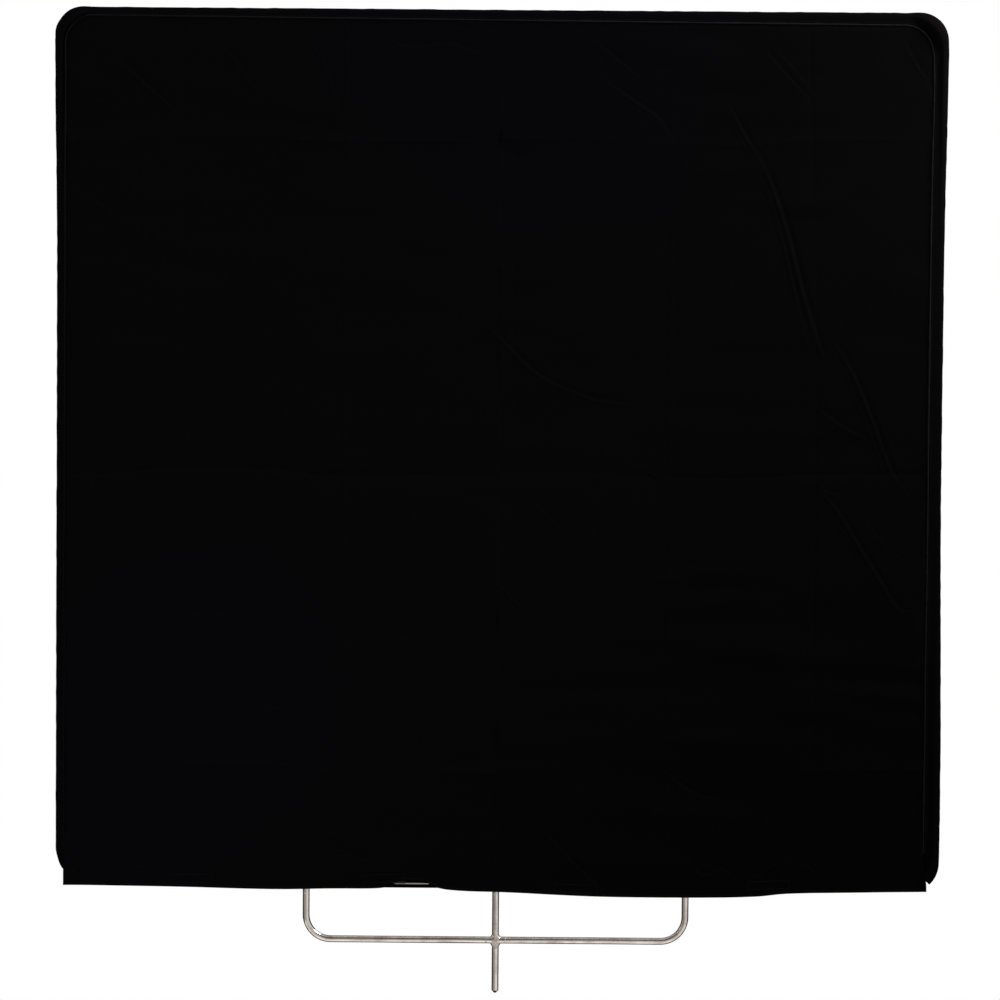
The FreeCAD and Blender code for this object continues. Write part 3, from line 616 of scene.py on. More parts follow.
def drawn_stainless(name, steel, along, weld=False):
    """Stainless rod, drawn bright: long fine lines, soft reflections, dull warm streaks from handling."""
    material, tree = new_material(name)
    place = add_node(tree, "TexCoord").outputs["Object"]
    squeeze = {"X": (1.0, 14.0, 14.0), "Z": (14.0, 14.0, 1.0)}
    grain = add_node(tree, "Mapping", {"Vector": place})
    grain.inputs["Scale"].default_value = squeeze[along]
    if along == "X":
        # The yoke's legs are upright, so their lines run along Z.
        legs = add_node(tree, "Mapping", {"Vector": place})
        legs.inputs["Scale"].default_value = squeeze["Z"]
        parts = add_node(tree, "SeparateXYZ", {"Vector": place})
        far = add_node(tree, "Math", {0: parts.outputs["X"]}, operation="ABSOLUTE")
        mask = add_node(tree, "MapRange", {"Value": far.outputs["Value"]},
                        From_Min=LEG_X - 30 * MM, From_Max=LEG_X - 8 * MM)
        lines = add_node(tree, "Mix", {"Factor": mask.outputs["Result"], "A": grain.outputs["Vector"],
                                       "B": legs.outputs["Vector"]}, data_type="VECTOR").outputs["Result"]
    else:
        lines = grain.outputs["Vector"]
    # Drawing lines are about 0.1 mm apart. They are drawn at about 0.5 mm, so that they show.
    line_gap = 0.5 * MM
    fine = add_node(tree, "TexNoise", {"Vector": lines}, Scale=1 / line_gap / 14, Detail=4.0, Roughness=0.65)
    streak = add_node(tree, "TexNoise", {"Vector": lines}, Scale=22.0, Detail=3.0, Roughness=0.6)
    smudge = add_node(tree, "TexNoise", {"Vector": place}, Scale=55.0, Detail=4.0, Roughness=0.6)
    dull = add_node(tree, "Math", {0: streak.outputs["Fac"], 1: smudge.outputs["Fac"]}, operation="MULTIPLY")
    dull_share = add_node(tree, "MapRange", {"Value": dull.outputs["Value"]}, From_Min=0.18, From_Max=0.42)
    colour = add_node(tree, "Mix", {"Factor": dull_share.outputs["Result"]}, data_type="RGBA")
    colour.inputs["A"].default_value = (*steel.colour, 1)
    colour.inputs["B"].default_value = (*steel.streak_colour, 1)
    result = colour.outputs["Result"]
    if weld:
        # Heat tint: straw, then brown and blue, in spots round the weld.
        tint_spots = add_node(tree, "TexNoise", {"Vector": place}, Scale=160.0, Detail=3.0)
        tint_share = add_node(tree, "MapRange", {"Value": tint_spots.outputs["Fac"]},
                              From_Min=0.45, From_Max=0.75, To_Max=0.5)
        tinted = add_node(tree, "Mix", {"Factor": tint_share.outputs["Result"], "A": result},
                          data_type="RGBA")
        tinted.inputs["B"].default_value = (*linear(0x6E5B4C), 1)
        result = tinted.outputs["Result"]
    smoothest, dullest = (0.22, 0.34) if weld else (0.12, 0.26)
    rough = add_node(tree, "MapRange", {"Value": dull.outputs["Value"]},
                     From_Min=0.15, From_Max=0.45, To_Min=smoothest, To_Max=dullest)
    depth = (0.05 if weld else 0.008) * MM
    bump = add_node(tree, "Bump", {"Height": fine.outputs["Fac"]}, Strength=0.5, Distance=depth)
    shader = add_node(
        tree, "BsdfPrincipled",
        {"Base Color": result, "Roughness": rough.outputs["Result"], "Normal": bump.outputs["Normal"]},
        Metallic=1.0)
    add_node(tree, "OutputMaterial", {"Surface": shader.outputs["BSDF"]})
    return material


class FLAG_OT_front_cloth(bpy.types.Operator):
    """One sheet from the top seam to the hem of the lip, creased and wrinkled"""
    bl_idname = "flag_frame.front_cloth"
    bl_label = "Front cloth"

    def execute(self, context):
        sizes = context.scene.flag_cloth
        gap = sizes.grid_step
        columns = spaced([SEAM_LEFT, *UPRIGHT_CREASES, SEAM_RIGHT], gap, 1.2 * MM)
        rows = spaced([LIP_Z, *LEVEL_CREASES, SEAM_TOP], gap, 1.2 * MM)
        x, z = np.meshgrid(columns, rows)
        for corner_x in (SEAM_LEFT, SEAM_RIGHT):
            round_corner(x, z, corner_x, SEAM_TOP, SEAM_BEND)
        rise = np.clip((z - LIP_Z) / (SEAM_TOP - LIP_Z), 0, 1)
        z -= SEAM_SLANT * rise * (x - SEAM_LEFT) / (SEAM_RIGHT - SEAM_LEFT)
        middle = (SEAM_LEFT + SEAM_RIGHT) / 2
        for side, edge, seed in ((-1, SEAM_LEFT, 31), (1, SEAM_RIGHT, 32)):
            share = np.clip((x - middle) / (edge - middle), 0, 1) ** 8
            x += share * (seam_edge(z, edge, seed, side) - edge) * step(SEAM_TOP - z, 0, SEAM_BEND)

        lip_rows = max(2, round((LIP_Z - BAR_Z) / (0.7 * gap)))
        edge = lip_edge_z(x[0])
        lip = [(x[0], edge + (LIP_Z - edge) * share) for share in np.arange(lip_rows) / lip_rows]
        x = np.vstack([*[row[0] for row in lip], x])
        z = np.vstack([*[row[1] for row in lip], z])
        # The lip's lower right end hangs a little outside the seam.
        x += 5 * MM * step(LIP_Z - z, 8 * MM, LIP_Z - BAR_Z) * step(x, SEAM_RIGHT - 60 * MM, SEAM_RIGHT)
        y = -front_face(x, z, sizes) + sizes.thickness / 2

        # The hem rolls under the edge and runs up behind it.
        turn = 1.3 * sizes.thickness
        roll = [(0.15, -0.25), (0.5, -0.4), (0.85, -0.25), (1.0, 0.0)]
        turned = [(back * turn, up * turn) for back, up in roll]
        turned += [(turn, sizes.hem * share) for share in (0.3, 0.65, 1.0)]
        hem_x = [x[0]] * len(turned)
        hem_y = [y[0] + back for back, up in turned]
        hem_z = [z[0] + up for back, up in turned]
        x = np.vstack([*hem_x[::-1], x])
        y = np.vstack([*hem_y[::-1], y])
        z = np.vstack([*hem_z[::-1], z])

        points = np.stack([x.ravel(), y.ravel(), z.ravel()], axis=1)
        cloth = mesh_object("front_cloth", points, grid_faces(*x.shape), cotton())
        thicken(cloth, sizes.thickness)
        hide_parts("front_panel", "front_lip")
        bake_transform(cloth)
        return {"FINISHED"}


def back_rim(points_x, points_z):
    """Outward directions along the edge of the back cloth, where it follows the ring's centre line."""
    centre_x = np.sign(points_x) * (SIDE_X - RING_BEND)
    centre_z = np.where(points_z > (BAR_Z + TOP_Z) / 2, TOP_Z - RING_BEND, BAR_Z + RING_BEND)
    out_x = np.where(np.abs(points_x) > SIDE_X - RING_BEND, points_x - centre_x, 0)
    past = np.where(points_z > centre_z, points_z - centre_z, 0)
    under = np.where(points_z < centre_z, points_z - centre_z, 0)
    out_z = np.where(points_z > (BAR_Z + TOP_Z) / 2, past, under)
    length = np.hypot(out_x, out_z)
    return out_x / length, out_z / length


def stand_off(points_x, points_z, out_x, out_z):
    """How far the rim lies outside a snug fit: at three corners, up both sides and low on the right."""
    high = points_z > (BAR_Z + TOP_Z) / 2
    step_in = RIM_BEND - FULL_CORNER
    across = np.abs(out_x)
    up = np.abs(out_z)
    along = (across + up) * step_in
    bend = along + np.sqrt(np.maximum(FULL_CORNER ** 2 - 2 * step_in ** 2 + along ** 2, 0))
    straight = RIM_BEND / np.maximum(np.maximum(across, up), 0.1)
    beside = RIM_BEND * np.minimum(across, up) <= step_in * np.maximum(across, up)
    corner = np.where(beside, straight, bend) - RIM_BEND
    full = high | (points_x > 0)
    top_sides = 3.2 * MM * step(points_z, TOP_Z - 0.35, TOP_Z - 0.04) * across
    low_right = 3.8 * MM * step(BAR_Z + 0.55 - points_z, 0, 0.4) * across * (points_x > 0)
    return corner * full + top_sides + low_right


def seam_reach(start_x, start_z, in_x, in_z):
    """How far inwards from the ring's centre line the seam line lies."""
    low = np.zeros_like(start_x)
    high = np.full_like(start_x, 0.06)
    for halving in range(30):
        middle = (low + high) / 2
        inside = seam_depth(start_x + in_x * middle, start_z + in_z * middle) > 0
        high = np.where(inside, middle, high)
        low = np.where(inside, low, middle)
    return high


class FLAG_OT_back_cloth(bpy.types.Operator):
    """One sheet behind the ring, hooked round the rods to the seam on the front"""
    bl_idname = "flag_frame.back_cloth"
    bl_label = "Back cloth"

    def execute(self, context):
        sizes = context.scene.flag_cloth
        hug = OUTER - sizes.thickness / 2
        gap = 1.4 * sizes.grid_step
        bottom = BAR_Z + 0.8 * MM
        columns = spaced([-SIDE_X, *UPRIGHT_CREASES, SIDE_X], gap, 1.2 * MM)
        rows = spaced([bottom, *LEVEL_CREASES, TOP_Z], gap, 1.2 * MM)
        x, z = np.meshgrid(columns, rows)
        for corner_x in (-SIDE_X, SIDE_X):
            for corner_z in (bottom, TOP_Z):
                round_corner(x, z, corner_x, corner_z, RING_BEND)
        edge_gap = np.minimum.reduce([SIDE_X - np.abs(x), TOP_Z - z, z - bottom])
        swell = bay_heights(-x, z, -SIDE_X, SIDE_X, TOP_Z, sizes) * 0.7
        swell += wrinkle_heights(x, z, BACK_WRINKLES, sizes, -1)
        swell += 0.9 * MM * lattice(x, z, 0.14, 61) + 0.35 * MM * lattice(x, z, 0.05, 62)
        y = hug + np.maximum(swell, -0.6 * MM) * step(edge_gap, 2 * MM, 24 * MM)
        points = [np.stack([x.ravel(), y.ravel(), z.ravel()], axis=1)]
        faces = [tuple(reversed(face)) for face in grid_faces(*x.shape)]

        height, width = x.shape
        left = [row * width for row in range(height)]
        top = [(height - 1) * width + column for column in range(1, width)]
        right = [row * width + width - 1 for row in range(height - 2, -1, -1)]
        rim = np.array(left + top + right)
        edge_x = x.ravel()[rim]
        edge_z = z.ravel()[rim]
        out_x, out_z = back_rim(edge_x, edge_z)
        reach = seam_reach(edge_x, edge_z, -out_x, -out_z)
        along = np.cumsum(np.hypot(np.diff(edge_x, prepend=edge_x[0]), np.diff(edge_z, prepend=edge_z[0])))
        around = 14
        bend_gather = np.exp(-np.maximum(np.minimum(np.abs(out_x), np.abs(out_z)) * -6 + 1, 0))
        gather = 0.35 * MM * (0.4 + bend_gather) * lattice(along, along * 0, 0.012, 63)
        first = len(points[0])
        loose = stand_off(edge_x, edge_z, out_x, out_z)
        for turn in range(1, around + 1):
            angle = math.pi * turn / around
            swollen = hug + loose + gather * math.sin(angle)
            outwards = swollen * math.sin(angle)
            row_y = swollen * math.cos(angle)
            points.append(np.stack([edge_x + out_x * outwards, row_y, edge_z + out_z * outwards], axis=1))
        strips = 5
        for strip in range(1, strips + 1):
            inwards = reach * strip / strips
            dip = 0.25 * MM * lattice(along, along * 0 + strip, 0.02, 64) * math.sin(math.pi * strip / strips)
            points.append(np.stack([edge_x - out_x * inwards, -hug - dip, edge_z - out_z * inwards], axis=1))
        count = len(rim)
        for row in range(around + strips):
            for column in range(count - 1):
                start = first + (row - 1) * count
                inner = (rim[column], rim[column + 1]) if row == 0 else (start + column, start + column + 1)
                outer = first + row * count + column
                faces.append((inner[0], outer, outer + 1, inner[1]))
        cloth = mesh_object("back_cloth", np.vstack(points), faces, cotton())
        thicken(cloth, sizes.thickness)
        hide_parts("back_panel")
        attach(cloth, "frame")
        return {"FINISHED"}


def seam_line(gap):
    """Points along the seam line from the lip's left end over the top to its right end."""
    left_z = np.arange(LIP_Z + 2 * MM, SEAM_TOP - SEAM_BEND, gap)
    right_z = np.arange(LIP_Z + 2 * MM, SEAM_TOP - SEAM_SLANT - SEAM_BEND, gap)
    sides = [(seam_edge(z, SEAM_LEFT, 31, -1), z) for z in left_z]
    turns = np.linspace(0, math.pi / 2, 24)[1:-1]
    centre = (SEAM_LEFT + SEAM_BEND, SEAM_TOP - SEAM_BEND)
    bend = [(centre[0] - SEAM_BEND * math.cos(a), centre[1] + SEAM_BEND * math.sin(a)) for a in turns]
    across = np.arange(SEAM_LEFT + SEAM_BEND, SEAM_RIGHT - SEAM_BEND, gap)
    top = [(x, SEAM_TOP - SEAM_SLANT * (x - SEAM_LEFT) / (SEAM_RIGHT - SEAM_LEFT)) for x in across]
    far = (SEAM_RIGHT - SEAM_BEND, SEAM_TOP - SEAM_SLANT - SEAM_BEND)
    far_bend = [(far[0] + SEAM_BEND * math.sin(a), far[1] + SEAM_BEND * math.cos(a)) for a in turns]
    down = [(seam_edge(z, SEAM_RIGHT, 32, 1), z) for z in right_z[::-1]]
    return np.array([(float(x), float(z)) for x, z in sides + bend + top + far_bend + down])


def to_the_right(line):
    """Unit steps to the right of a line, in the plane of the cover."""
    ahead = np.gradient(line, axis=0)
    ahead /= np.linalg.norm(ahead, axis=1)[:, None]
    return np.stack([ahead[:, 1], -ahead[:, 0]], axis=1)


class FLAG_OT_edge_seam(bpy.types.Operator):
    """Ridge of turned-in cloth along the seam, a little uneven as a sewn edge is"""
    bl_idname = "flag_frame.edge_seam"
    bl_label = "Edge seam"

    def execute(self, context):
        sewing = context.scene.flag_sewing
        line = seam_line(2.2 * MM)
        aside = to_the_right(line)
        along = np.cumsum(np.linalg.norm(np.diff(line, axis=0, prepend=line[:1]), axis=1))
        pucker = 1 + 0.22 * lattice(along, along * 0, 0.0065, 71) + 0.12 * lattice(along, along * 0, 0.05, 72)
        section = [(math.cos(a), math.sin(a)) for a in np.linspace(0, math.pi, 9)]
        section += [(-0.9, -0.25), (0.9, -0.25)]
        base = OUTER - 0.2 * MM
        rings = []
        for across, out in section:
            place = line + aside * (across * RIDGE_DRAWN / 2 * pucker)[:, None]
            face = -base - out * sewing.ridge_height * pucker
            rings.append(np.stack([place[:, 0], face, place[:, 1]], axis=1))
        points = np.stack(rings, axis=1).reshape(-1, 3)
        count = len(section)
        faces = grid_faces(len(line), count, closed=True)
        faces += [tuple(range(count))[::-1], tuple(range(len(points) - count, len(points)))]
        ridge = mesh_object("edge_seam_roll", points, faces, worn_highlit_cotton())
        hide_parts("edge_seam")
        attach(ridge, "frame")
        return {"FINISHED"}


def stitches(name, rows, sewing):
    """Short raised threads. Each row is a list of close points (x, y, z) on the cloth's face."""
    ring = 6
    profile = [(-0.36, 0.75), (0.0, 1.0), (0.36, 0.75)]
    points = []
    faces = []
    for row in rows:
        row = np.asarray(row, float)
        steps = np.linalg.norm(np.diff(row, axis=0), axis=1)
        along = np.concatenate([[0], np.cumsum(steps)])
        for place in np.arange(sewing.stitch_pitch / 2, along[-1], sewing.stitch_pitch):
            here, before, after = (
                np.array([np.interp(place + shift, along, row[:, axis]) for axis in range(3)])
                for shift in (0, -0.4 * MM, 0.4 * MM))
            ahead = (after - before) / max(np.linalg.norm(after - before), 1e-9)
            out = np.array([0.0, -1.0, 0.0])
            side = np.cross(ahead, out)
            first = len(points)
            for share, fat in profile:
                for spoke in range(ring):
                    angle = 2 * math.pi * spoke / ring
                    reach = sewing.thread / 2 * fat
                    points.append(here + ahead * share * sewing.stitch_length
                                  + side * reach * math.cos(angle) + out * reach * math.sin(angle))
            tips = [len(points), len(points) + 1]
            for end in (-0.5, 0.5):
                points.append(here + ahead * end * sewing.stitch_length - out * sewing.thread / 3)
            for level in range(len(profile) - 1):
                for spoke in range(ring):
                    right = (spoke + 1) % ring
                    low = first + level * ring
                    faces.append((low + spoke, low + right, low + ring + right, low + ring + spoke))
            last = first + (len(profile) - 1) * ring
            for spoke in range(ring):
                right = (spoke + 1) % ring
                faces.append((tips[0], first + right, first + spoke))
                faces.append((tips[1], last + spoke, last + right))
    return mesh_object(name, points, faces, spun_thread())


class FLAG_OT_stitching(bpy.types.Operator):
    """Rows of stitches: beside the seam, round each sewn tape and along the lip's hem"""
    bl_idname = "flag_frame.stitching"
    bl_label = "Stitching"

    def execute(self, context):
        sizes = context.scene.flag_cloth
        sewing = context.scene.flag_sewing
        line = seam_line(2 * MM)
        aside = to_the_right(line)
        outside = line - aside * (RIDGE / 2 + 1.1 * MM)
        row = np.stack([outside[:, 0], np.full(len(line), -OUTER - sewing.thread / 4), outside[:, 1]], axis=1)
        border = stitches("seam_stitches", [row], sewing)
        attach(border, "frame")

        def on_lip(places):
            x = np.array([p[0] for p in places])
            z = np.array([p[1] for p in places])
            return np.stack([x, -front_face(x, z, sizes) - sewing.thread / 5, z], axis=1)

        inset = 1.5 * MM
        lip_rows = []
        for number, tilt in enumerate(TAPE_TILTS, start=1):
            low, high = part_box(f"loop_patch_{number}")
            middle_x = (low.x + high.x) / 2
            corners = [(low.x + inset, low.z + inset), (high.x - inset, low.z + inset),
                       (high.x - inset, high.z - inset), (low.x + inset, high.z - inset)]
            for start, end in zip(corners, corners[1:] + corners[:1]):
                steps = [(start[0] + (end[0] - start[0]) * share, start[1] + (end[1] - start[1]) * share)
                         for share in np.linspace(0, 1, 24)]
                lip_rows.append(on_lip([(x, z + tilt * (x - middle_x)) for x, z in steps]))
        across = np.arange(LIP_LOW.x + 3 * MM, LIP_HIGH.x - 3 * MM, 3 * MM)
        lip_rows.append(on_lip(list(zip(across, lip_edge_z(across) + 2.6 * MM))))
        lip = stitches("lip_stitches", lip_rows, sewing)
        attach(lip, "front_lip")
        return {"FINISHED"}


class FLAG_OT_wrap_flaps(bpy.types.Operator):
    """Four flaps of back cloth, each wrapped under the bottom bar and up its front"""
    bl_idname = "flag_frame.wrap_flaps"
    bl_label = "Wrap flaps"

    def execute(self, context):
        sizes = context.scene.flag_cloth
        hug = OUTER - sizes.thickness / 2
        sewn_on = 14 * MM
        # The edge is scooped where the bar shows: its height there, and the half widths of the scoop.
        scoop_z = -0.7 * MM
        bare_half = 20 * MM
        scoop_half = 62 * MM
        for number in (1, 2, 3, 4):
            low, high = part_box(f"wrap_flap_{number}")
            columns = np.linspace(low.x, high.x, round((high.x - low.x) / (1.6 * sizes.grid_step)))
            rise = high.z - BAR_Z
            lap = hug + 1.1 * sizes.thickness
            section = [(lap, sewn_on * share) for share in (1.0, 0.75, 0.5, 0.3)]
            section += [((lap + hug) / 2, 1.5 * MM)]
            section += [(hug * math.cos(a), -hug * math.sin(a)) for a in np.linspace(0, math.pi, 15)]
            section += [(-hug, rise * share) for share in (0.2, 0.4, 0.6, 0.8, 0.93, 1.0)]
            depth = np.array([place[0] for place in section])
            up = np.array([place[1] for place in section])
            x, depth = np.meshgrid(columns, depth)
            z = np.meshgrid(columns, up)[1]
            scoop = scoop_z + (rise - scoop_z) * step(np.abs(x - GAPE_X), bare_half, scoop_half)
            z = np.where(depth < 0, np.minimum(z, scoop + 0.02 * z), z)
            loose = 0.45 * MM * lattice(x, z, 0.02, 80 + number) * step(np.abs(z), 0, 8 * MM)
            y = depth + np.sign(depth) * np.abs(loose) * (np.abs(depth) > 2 * MM)
            points = np.stack([x.ravel(), y.ravel(), (BAR_Z + z).ravel()], axis=1)
            flap = mesh_object(f"wrap_flap_cloth_{number}", points, grid_faces(*x.shape), cotton())
            thicken(flap, sizes.thickness)
            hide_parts(f"wrap_flap_{number}")
            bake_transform(flap)
        return {"FINISHED"}


class FLAG_OT_tapes(bpy.types.Operator):
    """Hook tape on the flaps and loop tape behind the lip, with their hooks and loops"""
    bl_idname = "flag_frame.tapes"
    bl_label = "Tapes"

    def execute(self, context):
        hook_nylon = woven_nylon("woven_nylon_hook_tape", 0x101013, 0.45)
        loop_nylon = woven_nylon("knitted_nylon_loop_tape", 0x0C0C0E, 0.8)
        pile_gap = 1.5 * MM
        for kind, body_name, facing, material in (
            ("hook", "wrap_flap", -1, hook_nylon), ("loop", "front_lip", 1, loop_nylon),
        ):
            for number in (1, 2, 3, 4):
                low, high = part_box(f"{kind}_patch_{number}")
                body = f"{body_name}_{number}" if kind == "hook" else body_name
                tape = tape_mesh(f"{kind}_tape_{number}", low, high, facing, pile_gap, kind, material)
                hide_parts(f"{kind}_patch_{number}")
                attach(tape, body)
        return {"FINISHED"}


def tape_mesh(name, low, high, facing, pile_gap, kind, material):
    """A woven band with rounded edges. Its pile stands on the face that the other tape meets."""
    shape = bmesh.new()
    web = 0.55 * (high.y - low.y)
    back = low.y if facing > 0 else high.y
    bmesh.ops.create_cube(shape, size=1.0)
    for vertex in shape.verts:
        vertex.co.x = low.x if vertex.co.x < 0 else high.x
        vertex.co.y = back if (vertex.co.y < 0) == (facing > 0) else back + facing * web
        vertex.co.z = low.z if vertex.co.z < 0 else high.z
    bmesh.ops.bevel(shape, geom=list(shape.edges), offset=0.2 * MM, segments=2, affect="EDGES")
    margin = 1.4 * MM
    face_y = back + facing * web
    pile = (high.y - low.y) - web
    across = np.arange(low.x + margin, high.x - margin, pile_gap)
    up = np.arange(low.z + margin, high.z - margin, pile_gap)
    bend = 0.5 * MM if kind == "loop" else 0.35 * MM
    fibre = 0.11 * MM
    for row, z in enumerate(up):
        for x in across + (row % 2) * pile_gap / 2 - pile_gap / 4:
            arch = [(-bend, -0.05 * MM), (-bend * 0.7, pile * 0.75), (bend * 0.2, pile), (bend, pile * 0.55)]
            if kind == "loop":
                arch.append((bend * 0.9, -0.05 * MM))
            rings = []
            for dx, out in arch:
                y = face_y + facing * out
                rings.append([
                    shape.verts.new((x + dx + fibre * math.cos(a), y, z + fibre * math.sin(a)))
                    for a in (0, math.pi * 2 / 3, math.pi * 4 / 3)])
            for ring, upper in zip(rings, rings[1:]):
                for spoke in range(3):
                    other = (spoke + 1) % 3
                    shape.faces.new((ring[spoke], ring[other], upper[other], upper[spoke]))
            shape.faces.new(rings[0][::-1])
            shape.faces.new(rings[-1])
    bmesh.ops.recalc_face_normals(shape, faces=list(shape.faces))
    mesh = bpy.data.meshes.new(name)
    shape.to_mesh(mesh)
    shape.free()
    mesh.materials.append(material)
    made = bpy.data.objects.new(name, mesh)
    bpy.context.scene.collection.objects.link(made)
    return made


def blend_distance(points, centre, arms, radius, fillet):
    """Distance from round rods that meet in the plane y = 0, their corners filled in, negative inside."""
    offset = points - centre
    inside = None
    for arm in arms:
        ahead = np.maximum(offset @ arm, 0)
        nearest = offset - np.outer(ahead, arm)
        distance = np.hypot(nearest[:, 0], nearest[:, 2])
        if inside is None:
            inside = distance
            continue
        mix = np.clip(0.5 + 0.5 * (inside - distance) / fillet, 0, 1)
        inside = inside * (1 - mix) + distance * mix - fillet * mix * (1 - mix) * 0.5
    return np.hypot(np.maximum(inside, 0), offset[:, 1]) - radius


def weld_piece(name, centres, arms, steel, material):
    """Rods run together by weld metal, dressed smooth: a skin over each joint of the CAD rods."""
    shape = bmesh.new()
    skin = 0.06 * MM
    probe = 0.02 * MM
    for centre in centres:
        for arm in arms:
            turn = Vector((0, 0, 1)).rotation_difference(Vector(arm)).to_matrix().to_4x4()
            bmesh.ops.create_cone(
                shape, cap_ends=True, segments=28, radius1=ROD + skin, radius2=ROD + skin, depth=steel.stub,
                matrix=Matrix.Translation(centre) @ turn @ Matrix.Translation((0, 0, steel.stub / 2)))
    mesh = bpy.data.meshes.new(name)
    shape.to_mesh(mesh)
    shape.free()
    made = bpy.data.objects.new(name, mesh)
    bpy.context.scene.collection.objects.link(made)
    remesh = made.modifiers.new("one_skin", "REMESH")
    remesh.mode = "VOXEL"
    remesh.voxel_size = 0.7 * MM
    graph = bpy.context.evaluated_depsgraph_get()
    made.data = bpy.data.meshes.new_from_object(made.evaluated_get(graph))
    made.modifiers.clear()
    made.data.name = name
    points = np.array([v.co for v in made.data.vertices], float)
    directions = [np.array(arm, float) for arm in arms]
    nearest = np.argmin([np.linalg.norm(points - np.array(c), axis=1) for c in centres], axis=0)
    for index, centre in enumerate(centres):
        chosen = nearest == index
        block = points[chosen]
        home = np.array(centre)
        reach = np.max([(block - home) @ arm for arm in directions], axis=0)
        body = reach < steel.stub - 0.9 * MM
        for pull in range(12):
            value = blend_distance(block, home, directions, ROD + skin, steel.fillet)
            slope = np.zeros_like(block)
            for axis in range(3):
                shift = np.zeros(3)
                shift[axis] = probe
                ahead = blend_distance(block + shift, home, directions, ROD + skin, steel.fillet)
                slope[:, axis] = (ahead - value) / probe
            slope /= np.maximum(np.linalg.norm(slope, axis=1), 0.3)[:, None]
            block[body] -= (slope * value[:, None])[body] * 0.8
        rough = lattice(block[:, 0], block[:, 2], 0.0032, 91) * np.exp(-(reach / (8 * MM)) ** 2)
        block[body] += (slope * (0.16 * MM * rough)[:, None])[body]
        points[chosen] = block
    made.data.vertices.foreach_set("co", points.astype(np.float32).ravel())
    made.data.shade_smooth()
    made.data.materials.append(material)
    return made


class FLAG_OT_steel(bpy.types.Operator):
    """Finish of the rods, and the welds that run them together"""
    bl_idname = "flag_frame.steel"
    bl_label = "Steel"

    def execute(self, context):
        steel = context.scene.flag_steel
        upright = drawn_stainless("drawn_stainless_rod_upright", steel, "Z")
        across = drawn_stainless("drawn_stainless_rod_level", steel, "X")
        joint = drawn_stainless("dressed_stainless_weld", steel, "Z", weld=True)
        finishes = {"frame_ring": across, "yoke": across, "stem": upright, "grip_pin": upright}
        for name, material in finishes.items():
            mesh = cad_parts[name].data
            mesh.materials.clear()
            mesh.materials.append(material)
        right, left, up, down = (1, 0, 0), (-1, 0, 0), (0, 0, 1), (0, 0, -1)
        cross = weld_piece("yoke_weld_metal", [(0, 0, YOKE_Z)], [right, left, up, down], steel, joint)
        tees = weld_piece("bar_weld_metal", [(place, 0, BAR_Z) for place in (-LEG_X, 0, LEG_X)],
                          [right, left, down], steel, joint)
        for piece, node in ((cross, "yoke_welds"), (tees, "bar_welds")):
            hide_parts(node)
            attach(piece, "frame")
        return {"FINISHED"}


def aim(thing, place, target):
    thing.location = place
    thing.rotation_euler = (Vector(target) - Vector(place)).to_track_quat("-Z", "Y").to_euler()


def seen_ray(tree):
    """1 for rays that show the background: the camera's own, and those off metal and through glass."""
    path = add_node(tree, "LightPath")
    either = add_node(tree, "Math", {0: path.outputs["Is Camera Ray"], 1: path.outputs["Is Glossy Ray"]},
                      operation="MAXIMUM")
    seen = add_node(tree, "Math", {0: either.outputs["Value"], 1: path.outputs["Is Transmission Ray"]},
                    operation="MAXIMUM")
    return seen.outputs["Value"]


